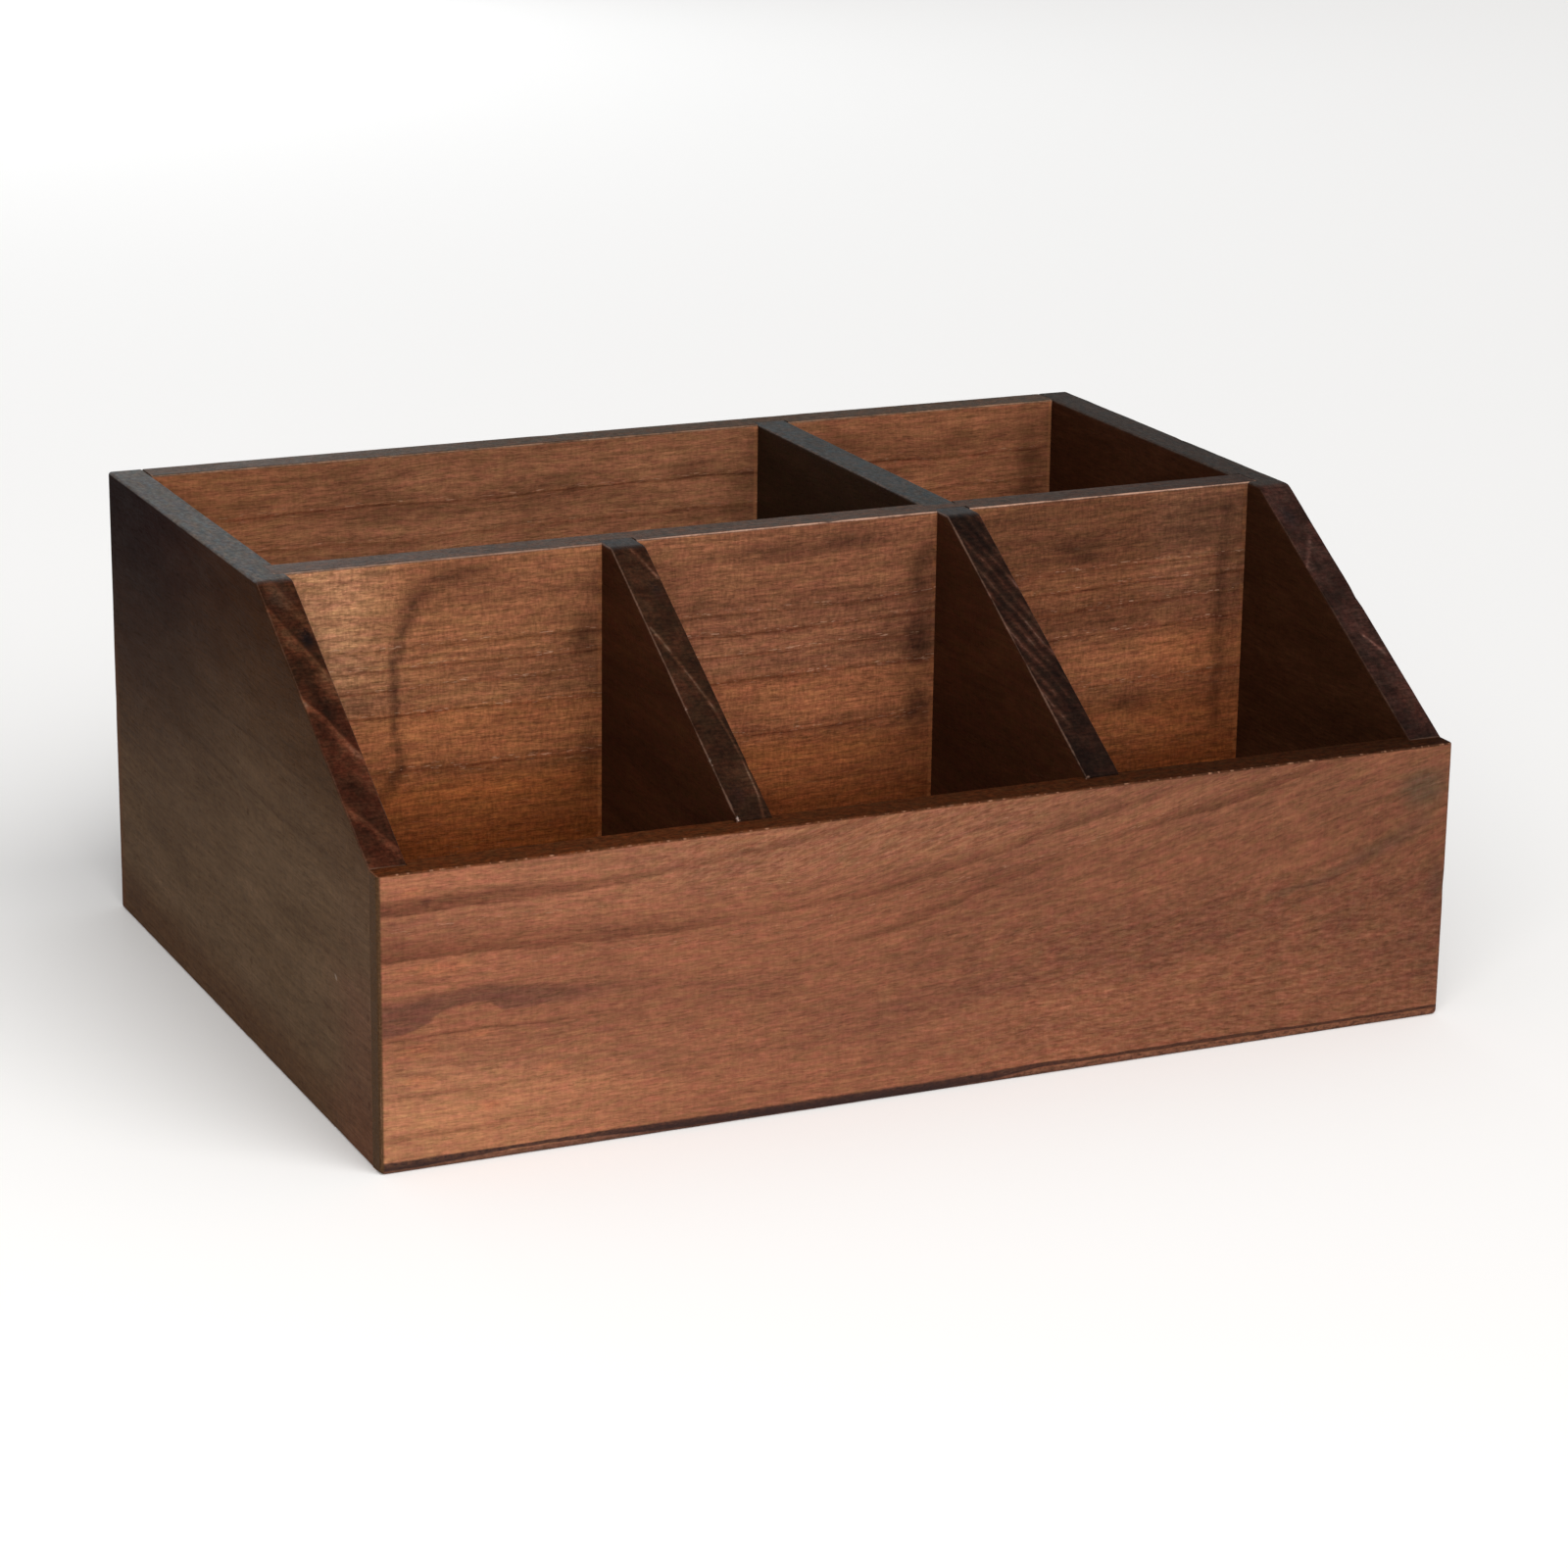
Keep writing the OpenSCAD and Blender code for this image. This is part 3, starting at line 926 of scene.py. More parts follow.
def front_extra(g, col, d):
    s = g.x - X0                      # from the left edge
    z = g.z
    wob = (d["small"] - 0.5) * 3.0
    wob2 = (d["blot"] - 0.5) * 5.0
    u = s + wob2 * 1.6
    v = z + wob + 0.9
    face = g.step(g.y - Y0, 4.0, 1.5)
    # painted light falloff: darker from left to right, as if lit from the front left;
    # lighter along the bottom
    painted_falloff = g.remap(s + wob2 * 3.0, 0.0, 305.0, 1.0, 0.66)
    low = g.step(z + wob2 * 0.8, 36.0, 17.0)
    high = g.step(z + wob2 * 0.8, 57.0, 69.0)
    col = g.tint(col, painted_falloff * (low * 0.10 + 1.0))
    # tan rather than red at the lower left and along the top
    col = g.mix(g.step(s + wob2 * 3.0, 100.0, 0.0) * low, col,
                g.mix(1.0, col, (1.42, 1.60, 1.50), "MULTIPLY"))
    col = g.mix(high * g.remap(s, 20.0, 80.0, 0.35, 1.0)
                * g.remap(s, 175.0, 250.0, 1.0, 0.35), col,
                g.mix(1.0, col, (1.20, 1.28, 1.28), "MULTIPLY"))
    # short dashes, level in the lower right and climbing along the top
    c1 = g.remap(g.noise(g.vec(s * 0.28, z * 1.10 + s * 0.11, 4.0), 1.0, 3.0,
                         0.65), 0.38, 0.62, -1.0, 1.0)
    c2 = g.remap(g.noise(g.vec(s * 0.28, z * 1.05 - s * 0.34, 6.0), 1.0, 3.0,
                         0.65), 0.38, 0.62, -1.0, 1.0)
    m1 = g.step(s + wob2 * 4.0, 120.0, 200.0) \
        * g.step(z + wob2, 54.0, 36.0) * 0.75 + 0.25
    m2 = g.step(g.abs(s - 128.0), 74.0, 40.0) * g.step(z, 60.0, 69.0)
    dash = c1 * m1 * (1.0 - m2) + c2 * m2
    col = g.mix(face, col, g.mix(
        g.clamp(dash * 0.5 + 0.5), g.mix(1.0, col, (0.84, 0.78, 0.76),
                                         "MULTIPLY"),
        g.mix(1.0, col, (1.13, 1.18, 1.20), "MULTIPLY")))
    # broad darker bands: flat inside, with a crisp lower side
    streak = g.remap(d["f1"], 0.0, 1.0, 0.72, 1.22)
    warm = g.max(
        g.band(u, v, [(0, 67.8, 6.0, 0.64), (12, 67.7, 6.0, 0.70),
                      (30, 67.7, 5.8, 0.64), (54, 67.9, 5.2, 0.52),
                      (75, 70.0, 3.4, 0.36), (100, 71.6, 3.4, 0.34),
                      (125, 75.0, 3.0, 0.40), (142, 78.5, 2.6, 0.20)], 0.35),
        g.band(u, v, [(0, 56.2, 8.6, 0.70), (30, 55.6, 8.4, 0.60),
                      (60, 54.4, 5.5, 0.56), (80, 54.0, 5.0, 0.52),
                      (96, 54.6, 3.6, 0.20), (112, 55.6, 3.4, 0.26),
                      (136, 57.2, 3.6, 0.36), (160, 61.6, 5.0, 0.46),
                      (182, 66.6, 5.6, 0.46), (202, 70.6, 5.0, 0.40),
                      (218, 73.6, 4.0, 0.28), (238, 78.5, 3.0, 0.10)], 0.0))
    warm = g.max(warm, g.band(u, v, [
        (112, 44.0, 3.0, 0.0), (130, 45.4, 3.4, 0.30), (152, 49.6, 4.4, 0.42),
        (160, 52.2, 4.4, 0.44), (172, 55.6, 4.0, 0.36), (190, 60.4, 3.4, 0.16),
        (203, 63.4, 3.4, 0.20), (218, 66.0, 4.2, 0.44), (232, 68.0, 4.6, 0.52),
        (245, 71.0, 4.8, 0.52), (259, 74.0, 4.4, 0.42),
        (275, 77.6, 3.4, 0.24)], 0.1))
    warm = g.max(warm, g.band(u, v, [
        (0, 19.8, 2.6, 0.40), (12, 20.0, 2.2, 0.44), (34, 20.6, 2.0, 0.34),
        (50, 20.4, 1.8, 0.0)], 0.0, 1.2))
    warm = g.max(warm, g.band(u, v, [
        (0, 9.0, 3.0, 0.44), (20, 9.2, 3.0, 0.46), (42, 10.6, 2.2, 0.32),
        (60, 11.6, 1.8, 0.0)], 0.0, 1.4))
    warm = g.max(warm, g.band(u, v, [
        (0, 35.2, 1.3, 0.0), (3, 35.4, 1.3, 0.50), (24, 35.5, 1.3, 0.60),
        (46, 35.0, 1.2, 0.40), (66, 34.8, 1.2, 0.0), (236, 43.0, 1.4, 0.0),
        (256, 42.8, 1.5, 0.40), (268, 43.6, 1.8, 0.46), (280, 47.6, 1.8, 0.26),
        (292, 51.0, 1.6, 0.0)], 0.0, 0.4))
    warm = g.clamp(warm * streak) * face
    col = g.mix(warm, col, g.mix(1.0, col, (0.34, 0.28, 0.29), "MULTIPLY"))
    cool = g.band(u, v, [
        (0, 36.2, 11.6, 0.74), (6, 37.0, 10.8, 0.74), (11, 39.1, 8.6, 0.72),
        (17, 42.0, 5.8, 0.66), (24, 42.9, 5.0, 0.64), (29, 42.3, 5.4, 0.66),
        (33, 39.9, 7.0, 0.72), (42, 39.6, 6.6, 0.66), (54, 39.6, 5.0, 0.46),
        (66, 40.0, 4.0, 0.20), (80, 40.5, 3.6, 0.0)], 0.62, 0.9)
    cool = g.clamp(cool * g.remap(d["f1"], 0.0, 1.0, 0.86, 1.12)) * face
    col = g.mix(cool, col, g.mix(1.0, col, (0.44, 0.46, 0.60), "MULTIPLY"))
    rosy = g.blob(u, v, 28.0, 15.4, 6.0, 2.4, 0, 0.0) * face
    col = g.mix(rosy * 0.6, col, g.mix(1.0, col, (0.96, 0.76, 0.72),
                                       "MULTIPLY"))
    # olive streak and smudges at the right, small knot and orange patches
    olive = g.stroke(u, v, [(250, 41.6, 1.6), (265, 44.0, 2.4),
                            (274, 48.0, 3.0), (286, 52.6, 4.6),
                            (298, 58.0, 5.0)], 0.0)
    sm = g.max(g.blob(u, v, 296.0, 66.5, 11.0, 9.5, 0, 0.15),
               g.max(g.blob(u, v, 302.0, 39.0, 5.0, 10.0, 0, 0.1) * 0.5,
                     olive * 0.55))
    sm = sm * g.remap(d["fib"], 0.0, 1.0, 0.7, 1.2) * face
    col = g.mix(g.clamp(sm * 0.95), col,
                g.mix(1.0, col, (0.56, 0.80, 0.88), "MULTIPLY"))
    knot = g.blob(u, v, 13.3, 69.8, 2.2, 1.8, 20) * face
    col = g.mix(knot * 0.5, col, lin("38201a"))
    glow = g.max(g.blob(u, v, 9.0, 32.0, 7.0, 2.6),
                 g.max(g.blob(u, v, 9.5, 24.0, 7.0, 2.2),
                       g.blob(u, v, 15.0, 53.0, 15.0, 2.4) * 0.7))
    glow = g.max(glow, g.blob(u, v, 25.0, 34.4, 6.0, 1.2) * 0.8)
    glow = g.max(glow, g.blob(u, v, 10.0, 73.0, 5.0, 1.8) * 0.8)
    glow = g.max(glow, g.blob(u, v, 45.0, 24.0, 5.0, 1.6) * 0.7)
    col = g.mix(g.clamp(glow * 0.55 * g.remap(d["fib"], 0.0, 1.0, 0.5, 1.4))
                * face, col,
                g.mix(1.0, col, (1.36, 1.24, 1.10), "MULTIPLY"))
    # dark line just above the bottom edge, and the strip below it
    w2 = g.noise(g.vec(s * (1 / 6.0), 8.0, 1.0), 1.0, 3.0, 0.6)
    w3 = g.noise(g.vec(s * (1 / 1.7), z * 0.9, 2.0), 1.0, 3.0, 0.65)
    zz = z + (w2 - 0.5) * 0.7
    line = g.stroke(s, zz, [
        (-3, 1.9, 1.5), (12, 2.0, 1.5), (24, 2.3, 1.0), (34, 2.5, 0.6),
        (46, 2.5, 0.65), (60, 2.4, 0.9), (74, 1.9, 1.4), (95, 1.7, 1.5),
        (120, 1.6, 1.7), (150, 1.5, 1.8), (168, 1.9, 1.5), (182, 2.9, 0.9),
        (196, 2.6, 0.6), (240, 2.7, 0.7), (262, 2.5, 0.5), (285, 2.5, 0.5),
        (308, 2.7, 0.6)], 0.5)
    under = g.step(z + (w3 - 0.5) * 0.8, 2.6, 1.4)
    col = g.mix(under * 0.75 * face, col,
                g.mix(g.remap(w3, 0.36, 0.64, 0.0, 1.0), lin("38251f"),
                      g.mix(g.remap(s, 120.0, 240.0, 0.0, 1.0),
                            lin("5c4038"), lin("80543e"))))
    col = g.mix(g.clamp(line * g.remap(w3, 0.3, 0.7, 0.75, 1.0)) * face, col,
                g.mix(g.remap(s, 150.0, 210.0, 0.0, 1.0), lin("2a1f1f"),
                      lin("38241d")))
    # the left end shows end grain
    endm = g.step(g.x - X0, 1.2, 0.5)
    col = g.mix(endm, col, g.mix(d["fib"], lin("3e2b1b"), lin("543c28")))
    return col, line * -0.8


def front_wear_highlight(g):
    # pale wear and a painted highlight on the top front arris, the lower left arris and
    # the right end
    s = g.x - X0
    dots = g.noise(g.vec(s * 0.45, 3.0, 1.0), 1.0, 2.0, 0.5)
    top = g.step(g.z, HF - 3.0, HF - 1.0) * g.step(g.y - Y0, 2.0, 0.9) \
        * g.remap(dots, 0.52, 0.66, 0.08, 0.9)
    low = g.step(s, 2.0, 1.0) * g.step(g.z, 56.0, 46.0)
    mid = g.step(s, 2.0, 1.0) * 0.35
    right = g.step(s, 303.0, 304.0) * 0.4
    return g.clamp(top + g.max(low, mid) + right)


def middle_extra(g, col, d):
    x, z = g.x, g.z
    wob = (d["small"] - 0.5) * 4.0
    wob2 = (d["blot"] - 0.5) * 6.0
    u = x + wob2
    v = z + wob
    face = g.step(g.y - YM, 4.0, 1.5)
    # redder and deeper towards the bottom
    low = g.step(z + wob2 * 0.6, 80.0, 63.0)
    e = g.remap(x, -60.0, 60.0, 0.0, 1.0)
    col = g.mix(low, col, g.mix(1.0, col, g.mix(
        e, (0.90, 0.68, 0.44), (1.02, 0.84, 0.62)), "MULTIPLY"))
    # an orange belt above that, darker along the top at the right
    belt = g.step(z + wob2 * 0.5, 71.0, 78.0) * g.step(z + wob2 * 0.5, 91.0,
                                                       84.0)
    col = g.mix(belt * face, col, g.mix(1.0, col, g.mix(
        e, (1.38, 1.26, 1.10), (1.20, 1.10, 0.98)), "MULTIPLY"))
    col = g.mix(g.step(x, -50.0, -38.0) * g.step(x, 54.0, 46.0)
                * g.step(z + wob2, 102.0, 116.0) * face,
                col, g.mix(1.0, col, (0.85, 0.84, 0.83), "MULTIPLY"))
    col = g.mix(g.step(x, -50.0, -40.0) * face, col,
                g.mix(1.0, col, (1.0, 1.0, 1.09), "MULTIPLY"))
    col = g.mix(g.step(x, 48.0, 60.0) * g.step(x + wob2, 120.0, 104.0)
                * g.step(z, 84.0, 94.0) * face, col,
                g.mix(1.0, col, (0.88, 0.82, 0.76), "MULTIPLY"))
    col = g.mix(g.step(x + wob2, 104.0, 122.0) * g.step(z, 100.0, 90.0) * face,
                col, g.mix(1.0, col, (1.22, 1.14, 1.06), "MULTIPLY"))
    # painted shade: darker towards the bottom, where the front panel hides the light
    foot_shade = g.step(z + wob2 * 0.4, 61.0, 49.0)
    col = g.mix(foot_shade * face, col,
                g.mix(1.0, col, (0.66, 0.56, 0.46), "MULTIPLY"))
    foot_shade = g.step(z + wob2 * 0.3, 46.0, 38.0)
    col = g.mix(foot_shade * face, col, g.mix(1.0, col, g.mix(
        e, (0.40, 0.29, 0.23), (0.60, 0.50, 0.41)), "MULTIPLY"))
    # painted light: lighter, more orange at the left end
    lft = g.step(x + wob2 * 1.2, -104.0, -132.0) \
        * g.step(z + wob2, 74.0, 104.0)
    col = g.mix(lft * face, col,
                g.mix(1.0, col, g.mix(
                    g.clamp(d["f2"] * 0.6 + d["bl"] * 0.7 - 0.15),
                    (1.24, 1.44, 1.52), (1.66, 2.04, 2.30)), "MULTIPLY"))
    # painted shade: darker towards the upper right
    right_shade = g.step(x + wob2, 44.0, 66.0) * g.step(z + wob2, 98.0, 118.0) * 0.9
    right_shade = g.max(right_shade, g.step(x + wob2, 40.0, 60.0) * 0.34)
    col = g.mix(right_shade * face, col,
                g.mix(1.0, col, (0.60, 0.64, 0.66), "MULTIPLY"))
    c = -142.5
    c2 = -44.7
    c3 = 54.5
    arc = g.stroke(u, v, [(c + 56, 125.4, 2.6), (c + 42, 123.8, 4.2),
                          (c + 35, 118.6, 4.8), (c + 31.0, 110.0, 4.0),
                          (c + 29, 102.0, 3.0), (c + 28.6, 87.0, 2.2),
                          (c + 29.5, 78.0, 2.4), (c + 30.5, 73.0, 3.4),
                          (c + 26.0, 66.0, 3.4)], 0.0)
    sm = [
        (arc, 0.66),
        (g.blob(u, v, c + 83.0, 104.0, 5.6, 8.5, 0, 0.0), 0.60),
        (g.blob(u, v, c + 26.0, 127.0, 8.0, 2.2, 0, 0.0), 0.60),
        (g.blob(u, v, c + 84.0, 70.0, 4.0, 18.0, 0, 0.0), 0.40),
        (g.blob(u, v, c2 + 64.0, 122.8, 20.0, 3.8, 2, 0.0), 0.66),
        (g.blob(u, v, c2 + 40.0, 122.0, 22.0, 5.0, 0, 0.0), 0.40),
        (g.blob(u, v, c2 + 84.0, 93.0, 6.6, 11.0, 0, 0.1), 0.80),
        (g.blob(u, v, c2 + 84.0, 75.0, 6.0, 12.0, 0, 0.1), 0.66),
        (g.blob(u, v, c2 + 84.0, 112.0, 5.0, 14.0, 0, 0.1), 0.55),
        (g.blob(u, v, c2 + 19.0, 108.0, 6.0, 8.0, 0, 0.0), 0.32),
        (g.blob(u, v, c3 + 35.0, 113.5, 14.0, 7.0, 6, 0.0), 0.46),
        (g.blob(u, v, c3 + 72.0, 116.0, 16.0, 8.0, -6, 0.0), 0.46),
        (g.stroke(u, v, [(c3 + 81.5, 122, 4.6), (c3 + 80.5, 100, 3.6),
                         (c3 + 80.5, 80, 3.2), (c3 + 80, 60, 4.0)], 0.0),
         0.50),
        (g.blob(u, v, c3 + 53.0, 68.5, 11.0, 6.0, 0, 0.0), 0.55),
        (g.blob(u, v, c3 + 80.0, 81.0, 4.6, 4.6, 0, 0.0), 0.5),
    ]
    dark = None
    for m, kk in sm:
        m = m * kk
        dark = m if dark is None else g.max(dark, m)
    rag = g.noise(g.vec(x * 0.22, z * 0.30, 5.0), 1.0, 4.0, 0.65)
    dark = g.clamp(dark * g.remap(d["fib"], 0.0, 1.0, 0.75, 1.25)
                   * g.remap(rag, 0.36, 0.62, 0.6, 1.2)) * face
    col = g.mix(dark, col, g.mix(1.0, col, (0.20, 0.20, 0.24), "MULTIPLY"))
    # bright thin line of bare wood in each right-hand inner corner
    for xc in (D1, D2, X1 - T):
        m = g.step(g.abs(x - (xc - 0.6)), 0.9, 0.3)
        m = m * g.remap(rag, 0.44, 0.58, 0.0, 1.0)
        col = g.mix(m * face * 0.32, col, lin("a8683e"))
    return col, 0.0


def middle_wear_highlight(g):
    # pale wear and a painted highlight, paler towards the right end, and only on the
    # front arris
    w = g.remap(g.x, -60.0, -30.0, 0.5, 1.0)
    return w * g.step(g.y - YM, 2.5, 0.9) * g.step(g.z, H - 3.0, H - 1.0)


def back_extra(g, col, d):
    x, z = g.x, g.z
    u = x + (d["blot"] - 0.5) * 12.0
    v = z + (d["small"] - 0.5) * 5.0
    lft = g.step(x + (d["blot"] - 0.5) * 30.0, -70.0, -142.0)
    col = g.mix(lft, col, g.mix(1.0, col, (1.10, 1.04, 0.92), "MULTIPLY"))
    col = g.mix(g.step(x, -90.0, -30.0), col,
                g.mix(1.0, col, (1.09, 1.09, 1.08), "MULTIPLY"))
    col = g.mix(g.step(x, 50.0, 76.0), col,
                g.mix(1.0, col, (1.05, 0.98, 0.94), "MULTIPLY"))
    sm = [
        (g.blob(u, v, 134.0, 108.0, 6.5, 26.0, 0, 0.1), 0.60),
        (g.blob(u, v, 70.0, 121.0, 16.0, 6.0, 0, 0.0), 0.40),
        (g.blob(u, v, 22.0, 117.0, 14.0, 4.4, 0, 0.0), 0.60),
        (g.blob(u, v, -18.0, 118.0, 10.0, 3.4, 0, 0.0), 0.44),
        (g.blob(u, v, -70.0, 112.0, 22.0, 3.0, 2, 0.0), 0.40),
        (g.blob(u, v, 112.0, 118.0, 8.0, 3.0, 0, 0.0), 0.24),
        (g.blob(u, v, -116.0, 117.0, 12.0, 3.0, 0, 0.0), 0.34),
        (g.blob(u, v, 38.0, 104.0, 8.0, 10.0, 0, 0.0), 0.30),
    ]
    dark = None
    for m, kk in sm:
        m = m * kk
        dark = m if dark is None else g.max(dark, m)
    inner = g.step(g.y, Y1 - 4.0, Y1 - 6.0)
    dark = g.clamp(dark * g.remap(d["fib"], 0.0, 1.0, 0.6, 1.4)) * inner
    col = g.mix(dark, col, g.mix(1.0, col, (0.36, 0.38, 0.36), "MULTIPLY"))
    # pale line in the right-hand corners
    for xc in (D3, X1 - T):
        m = g.step(g.abs(x - (xc - 0.6)), 0.9, 0.3) * inner
        col = g.mix(m * 0.22, col, lin("b87a50"))
    # the scorched outer face
    outer = g.step(Y1 - g.y, 4.0, 1.5)
    col = g.mix(outer, col, g.mix(1.0, col, (0.40, 0.40, 0.46), "MULTIPLY"))
    return col, 0.0


def back_wear_highlight(g):
    # pale wear and a painted highlight along the inner top arris
    return g.step(g.z, H - 3.0, H - 1.0) * g.step(g.y, Y1 - T + 3.0,
                                                   Y1 - T + 1.0)


def slope_look(g, tm, d, look):
    """The sloped end of a side or divider: dark speckled end grain, with pale
    rings where they run out."""
    x, y, z = g.x, g.y, g.z
    on = g.step(y, YB + 3.0, YB - 1.5)
    n = g.remap(g.noise(g.vec(x * 0.10 + d["sx"], y * 0.07, z * 0.07), 1.0,
                        4.0, 0.62), 0.36, 0.64, 0.0, 1.0)
    speck = g.remap(g.noise(g.vec(x * 0.9, y * 0.9, z * 0.9), 1.0, 3.0, 0.7),
                    0.35, 0.65, -1.0, 1.0)
    stria = g.remap(g.noise(g.vec(x * 0.22, y * 1.5, z * 1.5), 1.0, 2.0, 0.6),
                    0.35, 0.65, -1.0, 1.0)
    if look.get("diagonal"):
        s = (y + 106.5) * (1.0 / 0.854)
        q = s + (x + 143.0) * (s * 0.012 + 1.6)
        ring = g.grey(g.ramp((q + speck * 0.5 + (n - 0.5) * 2.5) * 0.01,
                             look["diagonal"]))
        a = g.clamp(ring * look["amount"] + (n - 0.5) * look["loose"]
                    + look["level"])
    elif look["rings"]:
        fr = g.math("FRACT", (d["rho"] + speck * 0.12)
                    * (1.0 / look["period"]) + look["phase"])
        ring = g.grey(g.ramp(fr, look["rings"]))
        on2 = g.step(y + (n - 0.5) * 12.0, -92.0, -80.0) \
            * g.remap(n, 0.0, 1.0, 0.6, 1.15)
        a = g.clamp(ring * on2 * look["amount"] + (n - 0.5) * look["loose"]
                    + look["level"])
    else:
        a = g.clamp((n - 0.5) * look["loose"] + look["level"])
    for pts, kk in look.get("curves", ()):
        m = g.stroke(y + speck * 0.25, x, pts, 0.0)
        a = g.clamp(a + m * kk)
    base = g.ramp(a, [(0.0, lin(look["deepest"])), (0.35, lin(look["dark"])),
                      (0.7, lin(look["light"])), (1.0, lin(look["line"]))])
    for (cy, cx, ry, rx, kk, c) in look.get("spots", ()):
        m = g.blob(y + speck * 1.5, x, cy, cx, ry, rx, 0, 0.1)
        base = g.mix(m * kk, base, lin(c))
    hue = g.remap(g.noise(g.vec(x * 0.3, y * 0.3, z * 0.3 + 4.0), 1.0, 3.0,
                          0.6), 0.38, 0.62, 0.0, 1.0)
    base = g.mix(1.0, base, g.mix(hue, (1.08, 0.93, 0.95),
                                  (0.94, 1.05, 1.08)), "MULTIPLY")
    if look.get("far"):
        base = g.mix(g.step(y, -70.0, -46.0), base,
                     g.mix(1.0, base, look["far"], "MULTIPLY"))
    base = g.tint(base, (speck * 0.34 + 1.0) * (stria * 0.24 + 1.0))
    return g.mix(on, tm, base)


def outer_extra(g, col, d):
    y, z = g.y, g.z
    n = d["blot"] - 0.5
    # inner face, darker at the back and along the top
    up = g.step(z + n * 40.0, 66.0, 126.0)
    col = g.mix(up * 0.15, col, lin("140b07"))
    col = g.mix(g.step(y, -14.0, -4.0), g.tint(col, 1.12),
                g.mix(1.0, col, (1.22, 1.12, 1.08), "MULTIPLY"))
    # outer face: olive brown with a painted grey sheen in its colour, and painted shade
    # along the top and towards the back
    oc = g.tint(g.ramp(d["tone"], [(0.0, lin("4b3828")), (0.5, lin("594533")),
                                   (1.0, lin("66513e"))]), d["k"])
    up = g.step(z + n * 16.0, 49.0, 129.0)
    back_shade = g.step(y + n * 30.0, -30.0, 100.0)
    oc = g.mix(up, oc, g.mix(1.0, oc, g.mix(
        back_shade, (0.35, 0.20, 0.10), (0.19, 0.10, 0.14)), "MULTIPLY"))
    oc = g.mix(back_shade * g.remap(z, 30.0, 78.0, 0.10, 1.0), oc,
               g.mix(1.0, oc, (0.46, 0.38, 0.38), "MULTIPLY"))
    oc = g.mix(g.step(z + n * 8.0, 20.0, 4.0), oc,
               g.mix(1.0, oc, (0.94, 0.82, 0.78), "MULTIPLY"))
    rose = g.step(y + n * 50.0, -62.0, -104.0) \
        * (g.step(z + n * 30.0, 58.0, 34.0) * 0.8 + 0.2)
    oc = g.mix(rose, oc, g.mix(1.0, oc, (1.10, 0.92, 0.97), "MULTIPLY"))
    # pale haze in a few places
    hz = g.max(g.blob(y, z, -14.0, 44.0, 22.0, 4.0, 4, 0.0),
               g.blob(y, z, 72.0, 19.0, 18.0, 3.0, 4, 0.0) * 0.8)
    hz = g.max(hz, g.blob(y, z, 36.0, 104.0, 8.0, 1.0, 0, 0.0))
    hz = g.max(hz, g.blob(y, z, -70.0, 40.0, 24.0, 12.0, 8, 0.0) * 0.4)
    oc = g.mix(g.clamp(hz * g.remap(d["fib"], 0.0, 1.0, 0.2, 1.5) * 0.55), oc,
               g.mix(1.0, oc, (1.36, 1.38, 1.42), "MULTIPLY"))
    # long dark growth lines
    w = (d["small"] - 0.5) * 2.4 + n * 2.0
    gl = g.max(g.band(112.5 - y, z + w, [
        (60, 84.6, 2.0, 0.0), (90, 84.8, 2.2, 0.6), (130, 85.4, 2.4, 0.9),
        (175, 85.8, 2.0, 0.4), (190, 86.0, 2.0, 0.0)], 0.0, 0.8),
        g.band(112.5 - y, z + w, [
            (40, 71.0, 1.8, 0.0), (70, 71.2, 2.0, 0.7), (110, 71.0, 2.4, 0.8),
            (150, 70.2, 2.6, 1.0), (185, 70.8, 2.2, 0.6),
            (200, 71.0, 2.0, 0.0)], 0.0, 0.8))
    gl = gl * g.remap(d["f1"], 0.0, 1.0, 0.4, 1.2)
    oc = g.mix(g.clamp(gl * 0.52), oc, g.mix(1.0, oc, (0.42, 0.38, 0.38),
                                             "MULTIPLY"))
    rust = g.step(y, 106.0, 111.0) * g.step(z, 92.0, 60.0)
    oc = g.mix(rust * 0.5, oc, lin("5a3624"))
    oc = g.mix(g.blob(y, z, -80.5, 41.4, 1.5, 0.8, 35, 0.3) * 0.5, oc,
               lin("9a8a7c"))
    # stopped brad holes
    for py in (-104.5, -11.0, 107.5):
        for pz in ((15.5, 38.75, 62.0) if py < -50 else (23.2, 64.5, 105.8)):
            m = g.blob(y, z, py, pz, 1.15, 1.15, 0, 0.75)
            oc = g.mix(m * 0.45, oc, g.mix(1.0, oc, (0.45, 0.40, 0.36),
                                           "MULTIPLY"))
    out = g.max(g.step(g.abs(g.x), 147.0, 149.0), g.step(y, 104.0, 106.0))
    return g.mix(out, col, oc), 0.0


# ---- Build ------------------------------------------------------------------------

make_camera()
make_light()
make_floor()

pieces = {}
pieces["left_side"] = (side_board("left_board", -1, 1), "side_wood")
pieces["right_side"] = (side_board("right_board", 1, 2), "side_wood")
pieces["front_panel"] = (front_board(), "front_wood")
pieces["back_panel"] = (back_board(), "inner_wood")
pieces["middle_panel"] = (middle_board(), "inner_wood")
pieces["front_divider_left"] = (front_divider_board(
    "divider_board_1", D1, 6,
    [(D1, -104.0, 78.5, 2.4, 0.5), (D1, -60.0, 105.0, 2.0, 0.35),
     (D1 + T, -90.0, 87.0, 2.2, 0.3), (D1, -84.0, 91.0, 1.5, 0.35)]),
    "divider_wood")
pieces["front_divider_right"] = (front_divider_board(
    "divider_board_2", D2, 7,
    [(D2 + T, -55.0, 108.0, 2.2, 0.35), (D2, -70.0, 99.0, 2.0, 0.3)]),
    "divider_wood")
pieces["rear_divider"] = (rear_divider_board(), "divider_wood")
pieces["bottom_panel"] = (bottom_board(), "bottom_wood")

SIDE_LINES = [(12, 5, .5), (24, 4, .5), (40, 6, .6), (55, 5, .6), (71, 5, .9),
              (86, 6, .9), (101, 4, .6), (115, 5, .5)]

WAVE = [(0.0, 0.0), (0.25, 0.35), (0.5, 1.0), (0.72, 0.5), (1.0, 0.0)]

